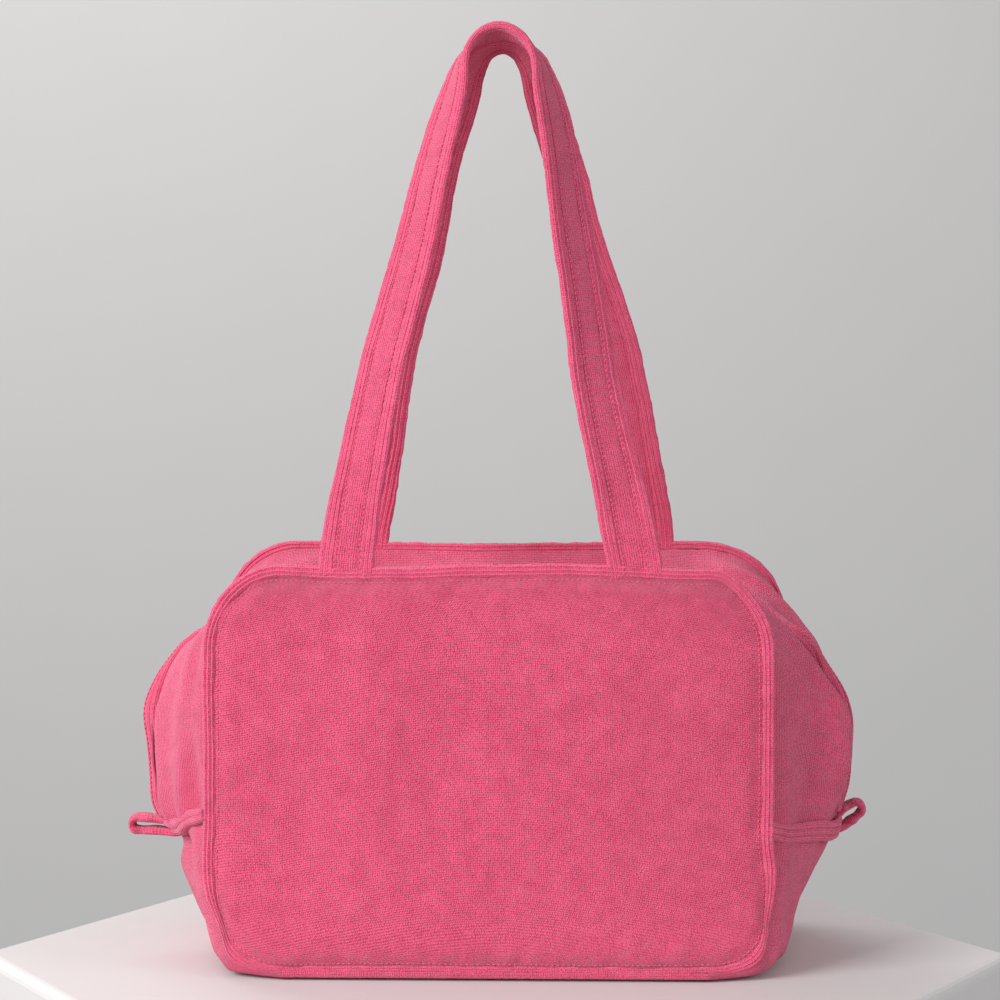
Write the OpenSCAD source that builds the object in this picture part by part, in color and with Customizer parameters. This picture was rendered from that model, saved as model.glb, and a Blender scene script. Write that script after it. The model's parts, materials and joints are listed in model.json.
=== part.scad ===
// Soft shoulder bag in terry cloth, with a zip over the top and two long handles.
// X runs along the bag, Y from the front panel to the back panel, Z up. Millimetres.
// The origin is on the ground, under the middle of the bag.

/* [Panels] */
// Width of the front and back panels, between the middles of their piped edges
panel_w = 336; // [300:2:400]
// Height of a panel, along its own slope
panel_h = 228; // [200:2:280]
// Corner radius of a panel
panel_r = 45; // [35:1:60]
// Depth of the bag at the panels' lowest seams
base_depth = 158; // [136:2:190]
// Depth of the bag at the panels' highest seams
top_depth = 132; // [120:2:136]
// Height of the panels' lowest seams above the ground
base_rise = 8; // [7:0.5:12]

/* [Gusset] */
// How far the sides bulge past the panels
side_bulge = 46; // [36:1:56]
// How far the sides stand past the panels at the ground
foot_bulge = 10; // [6:1:16]
// How far the zip lies under the panels' highest seams
zip_drop = 41; // [34:1:46]
// Radius of the bend where the zip turns down the sides
shoulder_r = 60; // [50:1:70]
// Height of the widest part of the sides
belly_z = 113; // [100:1:130]
// Height of the cross seams where they meet the panels, above the panels' lowest seams
cross_seam_h = 80; // [66:1:90]
// Height of the cross seams in the middle of the sides
cross_seam_z = 72; // [60:1:84]
// Extra roundness of the sides, as a share of their width
side_round = 0.4; // [0.2:0.05:0.6]

/* [Cloth] */
// Thickness of the terry with its interlining
cloth_t = 3; // [2.5:0.1:3.4]
// Thickness of the lining
lining_t = 1; // [0.6:0.1:1.4]
// Space between two layers of cloth
layer_gap = 0.3; // [0.2:0.05:0.5]
// Radius of the piped seams
piping_r = 3.3; // [2.8:0.1:3.6]
// Radius of the cross seams
cross_seam_r = 3; // [2.5:0.1:3.4]
// Thickness of the stiffener in the base
board_t = 2.5; // [1.5:0.1:4]

/* [Mouth] */
// How far the ends of the two top strips that open stand in from the panels' corners
mouth_end = 5; // [4:0.5:20]
// Width of the open channel that the zip slider runs in
zip_channel = 13; // [12:0.2:16]
// Width of the folded hem on each side of the channel
hem_w = 6; // [5:0.5:7]
// Thickness of the zip tape
tape_t = 0.8; // [0.6:0.1:1]
// Width of each row of the zip's coil
coil_w = 2.4; // [2:0.1:2.8]
// Height of the zip's coil
coil_h = 2; // [1.6:0.1:2.2]
// Space between the two rows of coil
coil_gap = 1.2; // [1:0.1:1.6]
// Running clearance of the zip slider
slide_gap = 0.3; // [0.2:0.05:0.4]
// Length of the zip slider
slider_l = 14; // [12:0.5:16]
// How far the closed slider stops short of the zip's turn down the side
slider_stop = 1; // [1:0.5:8]
// Length of the zip pull
pull_l = 24; // [18:1:26]

/* [Handles] */
// Distance between the middles of a handle's two feet
foot_gap = 169; // [150:1:184]
// Height of a handle's top above its hinge line
handle_rise = 305; // [260:5:330]
// Radius of the bend at a handle's top
crown_r = 27; // [22:1:32]
// Width of a handle strap, with its bound edges
strap_w = 32; // [28:0.5:36]
// Thickness of a handle strap
strap_t = 5; // [4:0.2:6]
// Radius of a strap's bound edges
edge_r = 2.6; // [2.2:0.1:2.8]
// Height of a handle's hinge line above the panels' highest seams
hinge_rise = 10; // [9.5:0.5:14]
// How far a handle's top stands from the middle of the bag
crown_y = 17; // [17:0.5:24]

/* [End loops] */
// Width of the loops at the ends of the zip
loop_w = 14; // [10:0.5:18]
// Length of a loop
loop_l = 19; // [16:0.5:20]
// Inside height of a loop
loop_slot = 5; // [4.8:0.1:6]
// Thickness of a loop's strap
loop_t = 2.7; // [2:0.1:3]

/* [Inside] */
// Width of the slip pocket
pocket_w = 160; // [120:5:200]
// Height of the slip pocket
pocket_h = 110; // [90:5:120]
// Width of the blank label
label_w = 34; // [20:1:50]

/* [Hidden] */

$fn = 32;
terry = "hotpink";
lining = "palevioletred";
metal = "silver";

lean = asin((base_depth - top_depth) / 2 / panel_h);      // slope of the panels
top_z = base_rise + panel_h * cos(lean);                  // height of the highest seams
zip_z = top_z - zip_drop;                                 // height of the zip over the top
side_x = panel_w / 2 + side_bulge;                        // the bag's widest half
lining_edge = 9;                                          // from a panel's seams in to its lining's edge
seam_in = piping_r + cloth_t / 2 + lining_edge * sin(lean) - 0.1;   // from a piping's middle to a strip's edge
tape_in = cloth_t + layer_gap;                            // depth of the zip tape under the hems
hem_edge = zip_channel / 2 + hem_w;                       // outer edge of a hem and its tape from the middle
part_gap = 0.4;                                           // space between the flaps and their neighbours
belly_r = 50;                                             // radius of the bend under the widest part
heel_r = 16;                                              // radius of the bend at the ground
heel_round = 7;                                           // rounding of the base's long edges
arc_steps = 10;                                           // pieces in each rounded corner
base_l = panel_w - 2 * panel_r;                           // length of the straight base
mouth_l = base_l - 2 * mouth_end;                         // length of the two top strips that open
slider_x = side_x - shoulder_r - slider_l / 2 - slider_stop;   // distance of the closed slider from the middle
flap_y = top_depth / 2 - piping_r - part_gap - cloth_t / 2;   // the flaps' hinge lines
hinge_z = top_z + hinge_rise;                             // the handles' hinge lines

// ---- paths ----

function unit(v) = v / norm(v);

// Points round the corner b between a and c, as an arc of radius r
function corner(a, b, c, r) =
    let (u = unit(a - b), w = unit(c - b))
    let (half = acos(u * w) / 2)
    let (m = b + unit(u + w) * r / sin(half))
    let (p = b + u * r / tan(half) - m, q = b + w * r / tan(half) - m)
    let (from = atan2(p.y, p.x), swing = atan2(q.y, q.x) - from)
    let (turn = swing > 180 ? swing - 360 : swing < -180 ? swing + 360 : swing)
    [for (i = [0:arc_steps]) m + r * [cos(from + turn * i / arc_steps), sin(from + turn * i / arc_steps)]];

// A path through the points p, with each corner i rounded by radius r[i]
function rounded_path(p, r) =
    [p[0], for (i = [1:len(p) - 2]) each corner(p[i - 1], p[i], p[i + 1], r[i]), p[len(p) - 1]];

// Distance along the path of each of its points
function stations(path) =
    [for (i = 0, s = 0; i < len(path); i = i + 1, s = s + (i < len(path) ? norm(path[i] - path[i - 1]) : 0)) s];

// Point at distance s along a path whose stations are given
function point_at(path, at, s) =
    [lookup(s, [for (i = [0:len(path) - 1]) [at[i], path[i].x]]),
     lookup(s, [for (i = [0:len(path) - 1]) [at[i], path[i].y]])];

// Right half of a panel's edge in its own plane, from the top's middle to the bottom's middle
panel_path = rounded_path([[0, panel_h], [panel_w / 2, panel_h], [panel_w / 2, 0], [0, 0]],
    [0, panel_r, panel_r, 0]);
panel_at = stations(panel_path);
panel_end = panel_at[len(panel_at) - 1];

// Right half of the gusset's middle line, from over the bag to under it
middle_path = rounded_path(
    [[0, zip_z], [side_x, zip_z], [side_x, belly_z], [panel_w / 2 + foot_bulge, 0], [0, 0]],
    [0, shoulder_r, belly_r, heel_r, 0]);
middle_at = stations(middle_path);
middle_end = middle_at[len(middle_at) - 1];

// Distances along both lines: at the mouth's end, at the cross seam and at the base's end
panel_mouth = mouth_l / 2 + part_gap;
panel_cross = base_l / 2 + PI * panel_r / 2 + panel_h - panel_r - cross_seam_h;
panel_base = panel_end - base_l / 2;
cross_end = cross_seam_r + layer_gap;
middle_cross = lookup(cross_seam_z, [for (i = [len(middle_path) - 1:-1:1]) [middle_path[i].y, middle_at[i]]]);
middle_base = middle_end - base_l / 2;

// ---- curved strips ----

// A point of a panel's plane in the bag, at height h up the panel
function on_panel(x, h) = [x, h * sin(lean) - base_depth / 2, base_rise + h * cos(lean)];

function mix(a, b, t) = a + (b - a) * t;

// Share of the way from the panel's seam to the ground, along the base
function ground_share(v) = v > 0.1 ? 1 : 1 - pow(1 - v / 0.1, 2);

// A point of the gusset: a and b are distances along the panel's edge and the middle line,
// v runs from the panel's seam at 0 to the middle at 1, and low is 1 on the ground and 0 on the sides
function gusset_point(a, b, v, low, round) =
    let (e = point_at(panel_path, panel_at, a), m = point_at(middle_path, middle_at, b))
    let (p = on_panel(e.x, e.y), y0 = p.y + seam_in)
    let (share = mix(v + round * v * (1 - v), ground_share(v), low))
    [mix(p.x, m.x, share), y0 * (1 - v), mix(p.z, m.y, share)];

// Outward normal of a grid of points at row i and column j
function grid_normal(g, i, j) =
    let (up = g[max(i - 1, 0)][j], down = g[min(i + 1, len(g) - 1)][j])
    let (left = g[i][max(j - 1, 0)], right = g[i][min(j + 1, len(g[0]) - 1)])
    unit(cross(down - up, right - left));

// Points of the grid moved inwards, without a shift along Y, so that the layer between is d thick
function inset(g, d) =
    [for (i = [0:len(g) - 1]) [for (j = [0:len(g[0]) - 1])
        let (n = grid_normal(g, i, j))
        g[i][j] - [n.x, 0, n.z] * d / (n.x * n.x + n.z * n.z)]];

// A sheet of cloth between two depths, d0 and d1, under a grid of points
module sheet(g, d0, d1) {
    rows = len(g);
    cols = len(g[0]);
    size = rows * cols;
    points = concat([for (r = inset(g, d0)) each r], [for (r = inset(g, d1)) each r]);
    function quad(a, b, c, d) = [[a, b, c], [a, c, d]];
    faces = [
        for (i = [0:rows - 2]) for (j = [0:cols - 2])
            each quad(i * cols + j, i * cols + j + 1, (i + 1) * cols + j + 1, (i + 1) * cols + j),
        for (i = [0:rows - 2]) for (j = [0:cols - 2])
            each quad(size + i * cols + j, size + (i + 1) * cols + j,
                size + (i + 1) * cols + j + 1, size + i * cols + j + 1),
        for (j = [0:cols - 2]) each quad(j, size + j, size + j + 1, j + 1),
        for (j = [0:cols - 2])
            each quad((rows - 1) * cols + j, (rows - 1) * cols + j + 1,
                size + (rows - 1) * cols + j + 1, size + (rows - 1) * cols + j),
        for (i = [0:rows - 2]) each quad(i * cols, (i + 1) * cols, size + (i + 1) * cols, size + i * cols),
        for (i = [0:rows - 2])
            each quad(i * cols + cols - 1, size + i * cols + cols - 1,
                size + (i + 1) * cols + cols - 1, (i + 1) * cols + cols - 1)];
    polyhedron(points, faces);
}

// Front right upper side strip, from the mouth to the cross seam, beside the hem.
// The last rows can be left out, so that a lining clears the seam
module upper_strip(d0, d1, left_out) {
    rows = 18;
    cols = 7;
    g = [for (i = [0:rows - left_out])
        let (t = i / rows)
        let (a = mix(panel_mouth, panel_cross - cross_end, t), b = mix(panel_mouth, middle_cross - cross_end, t))
        let (y0 = -gusset_point(a, b, 0, 0, 0).y, bow = side_round * min(1, 1.6 * t))
        [for (j = [0:cols]) gusset_point(a, b, (1 - (hem_edge + 0.1) / y0) * j / cols, 0, bow)]];
    sheet(g, d0, d1);
}

// Right lower side, from the front seam to the back seam, from the cross seam to the base.
// The first rows can be left out
module lower_strip(d0, d1, left_out) {
    rows = 12;
    cols = 8;
    half = [for (i = [left_out:rows])
        let (t = i / rows)
        let (a = mix(panel_cross + cross_end, panel_base - part_gap, t))
        let (b = mix(middle_cross + cross_end, middle_base - part_gap, t))
        [for (j = [0:cols]) gusset_point(a, b, pow(j / cols, 1.6), t, side_round)]];
    g = [for (r = half) concat(r, [for (j = [cols - 1:-1:0]) [r[j].x, -r[j].y, r[j].z]])];
    sheet(g, d0, d1);
}

// A round or flat strip swept through rings of points
module tube(rings) {
    n = len(rings[0]);
    last = len(rings) - 1;
    faces = [
        [for (k = [n - 1:-1:0]) k],
        for (i = [0:last - 1]) for (k = [0:n - 1])
            each [[i * n + k, (i + 1) * n + (k + 1) % n, (i + 1) * n + k],
                [i * n + k, i * n + (k + 1) % n, (i + 1) * n + (k + 1) % n]],
        [for (k = [0:n - 1]) last * n + k]];
    polyhedron([for (r = rings) each r], faces);
}

// ---- flat pieces ----

module rounded(w, h, r) {
    translate([-w / 2 + r, 0]) square([w - 2 * r, h]);
    translate([-w / 2, r]) square([w, h - 2 * r]);
    for (x = [-1, 1])
        for (y = [r, h - r])
            translate([x * (w / 2 - r), y]) circle(r);
}

// Children drawn in the front panel's plane: X along it, Z up it, and +Y into the bag
module in_panel() {
    translate([0, -base_depth / 2, base_rise]) rotate([-lean, 0, 0]) children();
}

// An upright plate from depth y0 to y1 with the outline of its children
module plate(y0, y1) {
    translate([0, y1, 0]) rotate([90, 0, 0]) linear_extrude(y1 - y0) children();
}

module panel_shape(edge) {
    translate([0, edge]) rounded(panel_w - 2 * edge, panel_h - 2 * edge, panel_r - edge);
}

module panel() {
    color(terry) in_panel() plate(-cloth_t / 2, cloth_t / 2) panel_shape(piping_r + 0.1);
}

module piping() {
    straight_w = panel_w - 2 * panel_r;
    straight_h = panel_h - 2 * panel_r;
    color(terry) in_panel() rotate([90, 0, 0]) {
        for (s = [-1, 1]) {
            translate([s * panel_w / 2, panel_r, 0]) rotate([-90, 0, 0]) cylinder(h = straight_h, r = piping_r);
            translate([-straight_w / 2, panel_h / 2 + s * panel_h / 2, 0]) rotate([0, 90, 0])
                cylinder(h = straight_w, r = piping_r);
        }
        for (i = [0:3])
            translate([(i == 0 || i == 3 ? 1 : -1) * straight_w / 2, i < 2 ? panel_h - panel_r : panel_r, 0])
                rotate([0, 0, 90 * i]) rotate_extrude(angle = 90) translate([panel_r, 0]) circle(piping_r);
    }
}

// The panel's lining lies behind the handle anchors
anchor_t = 1.2;
anchor_h = 28;
anchor_drop = 12;                                         // from the highest seams down to the anchors
lining_y = cloth_t / 2 + 2 * layer_gap + anchor_t;

module panel_lining() {
    color(lining) in_panel() plate(lining_y, lining_y + lining_t) panel_shape(lining_edge);
}

module handle_anchors() {
    color(lining) in_panel()
        for (s = [-1, 1])
            translate([s * foot_gap / 2, 0, panel_h - anchor_drop - anchor_h])
                plate(cloth_t / 2 + layer_gap, lining_y - layer_gap) rounded(strap_w, anchor_h, 3);
}

// The base's cross section: flat on the ground, with both long edges turned up to the panels' seams
module base_profile() {
    y = base_depth / 2 - heel_round;
    a = [for (i = [0:6]) 215 + 55 * i / 6];
    function arc(s, r, turns) = [for (t = turns) [s * (r * cos(t) - y), heel_round + r * sin(t)]];
    back_turns = [for (i = [6:-1:0]) a[i]];
    polygon(concat(arc(1, heel_round, a), arc(-1, heel_round, back_turns),
        arc(-1, heel_round - cloth_t, a), arc(1, heel_round - cloth_t, back_turns)));
}

module along_x(l) {
    translate([-l / 2, 0, 0]) rotate([90, 0, 90]) linear_extrude(l) children();
}

module base_gusset() {
    color(terry) along_x(base_l) base_profile();
}

board_z = cloth_t + layer_gap;
board_edge = 14;                                          // from the lowest seams in to the stiffener
base_lining_edge = 10;                                    // from the lowest seams in to the base's lining
base_corner_r = 10;

module base_board() {
    color("dimgray") translate([0, -base_depth / 2 + board_edge, board_z]) linear_extrude(board_t)
        rounded(base_l - 8, base_depth - 2 * board_edge, base_corner_r);
}

module base_lining() {
    color(lining) translate([0, -base_depth / 2 + base_lining_edge, board_z + board_t + layer_gap])
        linear_extrude(lining_t) rounded(base_l - 2, base_depth - 2 * base_lining_edge, base_corner_r);
}

// ---- side pieces, drawn on the right ----

module right_cross_seam() {
    n = 12;
    line = [for (i = [0:n]) gusset_point(panel_cross, middle_cross, i / n, 0, side_round)];
    path = concat(line, [for (i = [n - 1:-1:0]) [line[i].x, -line[i].y, line[i].z]]);
    last = len(path) - 1;
    rings = [for (i = [0:last])
        let (t = unit(path[min(i + 1, last)] - path[max(i - 1, 0)]))
        let (side = unit(cross(t, [0, 0, 1])), up = cross(side, t))
        [for (k = [0:7]) path[i] + cross_seam_r * (side * cos(45 * k) + up * sin(45 * k))]];
    color(terry) tube(rings);
}

module right_lower_gusset() {
    color(terry) lower_strip(0, cloth_t, 0);
}

module right_lower_lining() {
    color(lining) lower_strip(cloth_t + layer_gap, cloth_t + layer_gap + lining_t, 1);
}

module front_right_gusset() {
    color(terry) upper_strip(0, cloth_t, 0);
}

module right_upper_linings() {
    color(lining) for (s = [0, 1]) mirror([0, s, 0])
        upper_strip(cloth_t + layer_gap, cloth_t + layer_gap + lining_t, 1);
}

// A band that follows the zip line from distance s0 to s1, between depths d0 and d1 under it
module zip_band(s0, s1, d0, d1) {
    steps = 26;
    line = [for (i = [0:steps]) point_at(middle_path, middle_at, mix(s0, s1, i / steps))];
    normals = [for (i = [0:steps])
        let (t = unit(line[min(i + 1, steps)] - line[max(i - 1, 0)])) [-t.y, t.x]];
    outer = [for (i = [0:steps]) line[i] - normals[i] * d0];
    inner = [for (i = [steps:-1:0]) line[i] - normals[i] * d1];
    polygon(concat(outer, inner));
}

// The same band on both sides of the zip's middle, from y0 to y1
module zip_bands(s0, s1, d0, d1, y0, y1) {
    for (s = [0, 1]) mirror([0, s, 0]) translate([0, -y0, 0]) rotate([90, 0, 0])
        linear_extrude(y1 - y0) zip_band(s0, s1, d0, d1);
}

zip_start = mouth_l / 2 + part_gap;
// The cross seam rises beside the middle line, so the hems and tapes end above it
zip_end = middle_cross - cross_end - 3;

module right_zip_hems() {
    color(terry) zip_bands(zip_start, zip_end, 0, cloth_t, zip_channel / 2, hem_edge);
}

module right_zip_tapes() {
    color(lining) zip_bands(zip_start, zip_end, tape_in, tape_in + tape_t, coil_gap / 2, hem_edge);
}

coil_top = tape_in - 0.25 - coil_h;                       // depth of the coil's top under the hems

module right_zip_coils() {
    color(lining) zip_bands(zip_start, zip_end - 10, coil_top, coil_top + coil_h, coil_gap / 2,
        coil_gap / 2 + coil_w);
}

module right_loop() {
    root = point_at(middle_path, middle_at, middle_cross);
    outer = loop_slot / 2 + loop_t;
    straight = loop_l - outer;
    color(terry) translate([root.x + cross_seam_r + layer_gap, loop_w / 2, root.y])
        rotate([90, 0, 0]) linear_extrude(loop_w) difference() {
            union() {
                translate([0, -outer]) square([straight, 2 * outer]);
                translate([straight, 0]) circle(outer);
            }
            translate([-1, -loop_slot / 2]) square([straight + 1, loop_slot]);
            translate([straight, 0]) circle(loop_slot / 2);
        }
}

module zip_end_stops() {
    stop_w = coil_gap + 2 * coil_w;
    stop_l = 4;
    stop_s = zip_end - 8;
    color(metal) for (s = [0, 1]) mirror([s, 0, 0]) translate([0, stop_w / 2, 0]) rotate([90, 0, 0])
        linear_extrude(stop_w) zip_band(stop_s, stop_s + stop_l, 0.5, tape_in - 0.1);
}

// ---- the flaps over the mouth, drawn at the front ----

module flap_cloth() {
    end_y = hem_edge + 0.1;
    drop = zip_drop + cloth_t / 2;
    slope = atan2(drop, flap_y - end_y);
    length = norm([flap_y - end_y, drop]);
    color(terry) along_x(mouth_l) difference() {
        translate([-flap_y, top_z]) rotate(-slope) {
            circle(cloth_t / 2);
            translate([0, -cloth_t / 2]) square([length + cloth_t, cloth_t]);
        }
        translate([-end_y, zip_z - zip_drop]) square(2 * zip_drop);
    }
}

module flap_bar(y0, y1, d0, d1) {
    translate([-mouth_l / 2, -y1, zip_z - d1]) cube([mouth_l, y1 - y0, d1 - d0]);
}

module front_zip_hem() {
    color(terry) flap_bar(zip_channel / 2, hem_edge, 0, cloth_t);
}

module front_zip_tape() {
    color(lining) flap_bar(coil_gap / 2, hem_edge, tape_in, tape_in + tape_t);
}

module front_zip_coil() {
    color(lining) flap_bar(coil_gap / 2, coil_gap / 2 + coil_w, coil_top, coil_top + coil_h);
}

// ---- the zip slider and its pull ----

plate_t = 1.2;                                            // thickness of the slider's two plates
bridge_w = 2.4;                                           // width of the bridge that holds the pull
bridge_bar = 1.1;                                         // thickness of the bridge over its window
window_l = 5.2;                                           // length of the bridge's window
window_h = 2.8;                                           // height of the bridge's window
leg_l = 1.9;                                              // length of each of the bridge's legs
pull_w = 7.2;
pull_t = 1.4;
pin_l = 1.6;                                              // length of the pull's bar in the window
divider_l = 3.6;                                          // length of the slider's divider
top_plate_z = zip_z - coil_top + slide_gap;
low_plate_z = zip_z - tape_in - tape_t - slide_gap;
pin_z = top_plate_z + plate_t + window_h / 2;

module slider_plate(w, z) {
    translate([-slider_l / 2, -w / 2, z]) cube([slider_l, w, plate_t]);
}

module zip_slider() {
    inside = coil_gap + 2 * coil_w + 2 * slide_gap;
    wall_low = zip_z - tape_in + slide_gap;
    color(metal) translate([slider_x, 0, 0]) {
        slider_plate(inside + 2, top_plate_z);
        slider_plate(inside + 2, low_plate_z - plate_t);
        for (s = [0, 1]) mirror([0, s, 0])
            translate([-slider_l / 2, inside / 2, wall_low])
                cube([slider_l, 1, top_plate_z + plate_t - wall_low]);
        translate([slider_l / 2 - divider_l, -coil_gap / 2 + slide_gap, low_plate_z - plate_t / 2])
            cube([divider_l, coil_gap - 2 * slide_gap, top_plate_z - low_plate_z + plate_t]);
        translate([0, bridge_w / 2, top_plate_z + plate_t]) rotate([90, 0, 0]) linear_extrude(bridge_w)
            difference() {
                translate([-window_l / 2 - leg_l, -plate_t / 2])
                    square([window_l + 2 * leg_l, window_h + bridge_bar + plate_t / 2]);
                translate([-window_l / 2, 0]) square([window_l, window_h]);
            }
    }
}

// A flat tongue whose eye goes round the slider's bridge
module zip_pull() {
    reach = norm([window_l / 2 + leg_l, window_h / 2 + bridge_bar]) + 0.4;
    eye_w = bridge_w + 0.8;
    slot_w = 3;
    color(metal) translate([slider_x, 0, pin_z - pull_t / 2]) linear_extrude(pull_t)
        difference() {
            union() {
                translate([-pull_l + pull_w / 2, -pull_w / 2])
                    square([pull_l - pull_w / 2 + pin_l / 2, pull_w]);
                translate([-pull_l + pull_w / 2, 0]) circle(pull_w / 2);
            }
            translate([-reach, -eye_w / 2]) square([reach - pin_l / 2, eye_w]);
            translate([-pull_l + pull_w / 2, 0]) circle(slot_w / 2);
            translate([-pull_l + pull_w / 2, -slot_w / 2]) square([pull_l - pull_w / 2 - reach - 2.4, slot_w]);
        }
}

// ---- handles, drawn at the front ----

crown_z = handle_rise - strap_t / 2;
hinge_gap = 0.8;                                          // space above and below a handle's hinge line
to_crown = [foot_gap / 2, crown_z - crown_r];
leg_slope = atan2(to_crown.x, to_crown.y) - asin(crown_r / norm(to_crown));
peak_z = foot_gap / 2 / tan(leg_slope);                   // where the two legs would cross
handle_path = rounded_path([[-foot_gap / 2, 0], [0, peak_z], [foot_gap / 2, 0]], [0, crown_r, 0]);
handle_at = stations(handle_path);
handle_end = handle_at[len(handle_at) - 1];

// Turn of the strap about its own run, from its foot at 0 to the crown at 1
function strap_turn(t) = lookup(t, [[0, 0], [0.1, 24], [0.26, 42], [0.57, 50], [0.85, 68], [1, 108]]);

strap_steps = 56;
strap_frames = [for (i = [0:strap_steps])
    let (s = handle_end * i / strap_steps, near = 2 * min(i, strap_steps - i) / strap_steps)
    let (p = point_at(handle_path, handle_at, s))
    let (a = point_at(handle_path, handle_at, max(s - 3, 0)))
    let (b = point_at(handle_path, handle_at, min(s + 3, handle_end)))
    let (lean_in = (top_depth / 2 - crown_y) / crown_z)
    let (centre = [p.x, -top_depth / 2 + p.y * lean_in, hinge_z + p.y])
    let (run = unit([b.x - a.x, (b.y - a.y) * lean_in, b.y - a.y]))
    let (back = unit([0, 1, 0] - run * run.y), inner = cross(back, run))
    let (turned = inner * cos(strap_turn(near)) - back * sin(strap_turn(near)))
    let (foot = [p.x < 0 ? 1 : -1, 0, 0], hold = max(0, 1 - near / 0.2))
    let (wide = unit(turned * (1 - hold) + foot * hold))
    [centre, wide, unit(cross(wide, run)), near]];

crease_t = 0.4;                                           // thickness of a strap at its hinge

// Thickness of the strap as a share: it thins to a crease at its hinge
function crease(near) = min(1, crease_t / strap_t + near * handle_end / 13);

// Rings of an oval of half width a and half thickness b, shifted by side across the strap
function strap_rings(a, b, side) =
    [for (i = [0:strap_steps])
        let (f = strap_frames[i], lift = i == 0 || i == strap_steps ? hinge_gap : 0)
        let (c = f[0] + f[1] * side + [0, 0, lift])
        [for (k = [0:7])
            let (q = 45 * k + 22.5)
            c + f[1] * a * cos(q) / cos(22.5) + f[2] * b * crease(f[3]) * sin(q)]];

strap_half = strap_w / 2 - 2 * edge_r - 0.1;
edge_side = strap_w / 2 - edge_r;

module front_handle_strap() {
    color(terry) tube(strap_rings(strap_half, strap_t / 2, 0));
}

module front_handle_edge(side) {
    color(terry) tube(strap_rings(edge_r * 0.92, edge_r, side));
}

module front_handle_roots() {
    low = top_z + piping_r + 0.1;
    high = hinge_z - hinge_gap;
    crease_h = 5;
    color(terry) for (s = [-1, 1])
        translate([s * foot_gap / 2, 0, 0]) along_x(strap_w) translate([-top_depth / 2, 0])
            polygon([[-strap_t / 2, low], [strap_t / 2, low], [strap_t / 2, high - crease_h],
                [crease_t / 2, high], [-crease_t / 2, high], [-strap_t / 2, high - crease_h]]);
}

// ---- inside ----

pocket_z = 44;                                            // from the lowest seams up to the pocket
pocket_y = lining_y + lining_t + layer_gap;
pocket_hem_h = 8;
label_h = 20;

module slip_pocket() {
    color(lining) in_panel() translate([0, 0, pocket_z])
        plate(pocket_y, pocket_y + lining_t) rounded(pocket_w, pocket_h, 8);
}

module pocket_hem() {
    color(terry) in_panel() translate([0, 0, pocket_z + pocket_h + 0.2])
        plate(pocket_y, pocket_y + 2 * lining_t) rounded(pocket_w, pocket_hem_h, 1);
}

module blank_label() {
    color("white") in_panel() translate([0, 0, pocket_z + pocket_h + 2 * pocket_hem_h])
        plate(pocket_y, pocket_y + 0.6) rounded(label_w, label_h, 2);
}

module to_back() {
    mirror([0, 1, 0]) children();
}

module to_left() {
    mirror([1, 0, 0]) children();
}

panel();  // front_panel
to_back() panel();  // back_panel
piping();  // front_piping
to_back() piping();  // back_piping
base_gusset();
to_left() right_lower_gusset();  // left_lower_gusset
right_lower_gusset();
to_left() front_right_gusset();  // front_left_gusset
front_right_gusset();
to_left() to_back() front_right_gusset();  // back_left_gusset
to_back() front_right_gusset();  // back_right_gusset
flap_cloth();  // front_flap_cloth
to_back() flap_cloth();  // back_flap_cloth
to_left() right_cross_seam();  // left_cross_seam
right_cross_seam();
to_left() right_loop();  // left_loop
right_loop();
front_handle_strap();
front_handle_edge(-edge_side);  // front_handle_outer_edge
front_handle_edge(edge_side);  // front_handle_inner_edge
front_handle_roots();
to_back() front_handle_strap();  // back_handle_strap
to_back() front_handle_edge(-edge_side);  // back_handle_outer_edge
to_back() front_handle_edge(edge_side);  // back_handle_inner_edge
to_back() front_handle_roots();  // back_handle_roots
handle_anchors();  // front_handle_anchors
to_back() handle_anchors();  // back_handle_anchors
front_zip_hem();
to_back() front_zip_hem();  // back_zip_hem
to_left() right_zip_hems();  // left_zip_hems
right_zip_hems();
front_zip_tape();
to_back() front_zip_tape();  // back_zip_tape
to_left() right_zip_tapes();  // left_zip_tapes
right_zip_tapes();
front_zip_coil();
to_back() front_zip_coil();  // back_zip_coil
to_left() right_zip_coils();  // left_zip_coils
right_zip_coils();
zip_slider();
zip_pull();
zip_end_stops();
base_board();
base_lining();
panel_lining();  // front_lining
to_back() panel_lining();  // back_lining
to_left() right_lower_lining();  // left_lower_lining
right_lower_lining();
to_left() right_upper_linings();  // left_upper_linings
right_upper_linings();
to_back() slip_pocket();
to_back() pocket_hem();
to_back() blank_label();
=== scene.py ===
"""Looks of the terry beach bag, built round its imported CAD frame.

Metres, in the frame's axes: X along the bag to its right end, Y to the back, Z up.
"""

import json
import math

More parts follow.
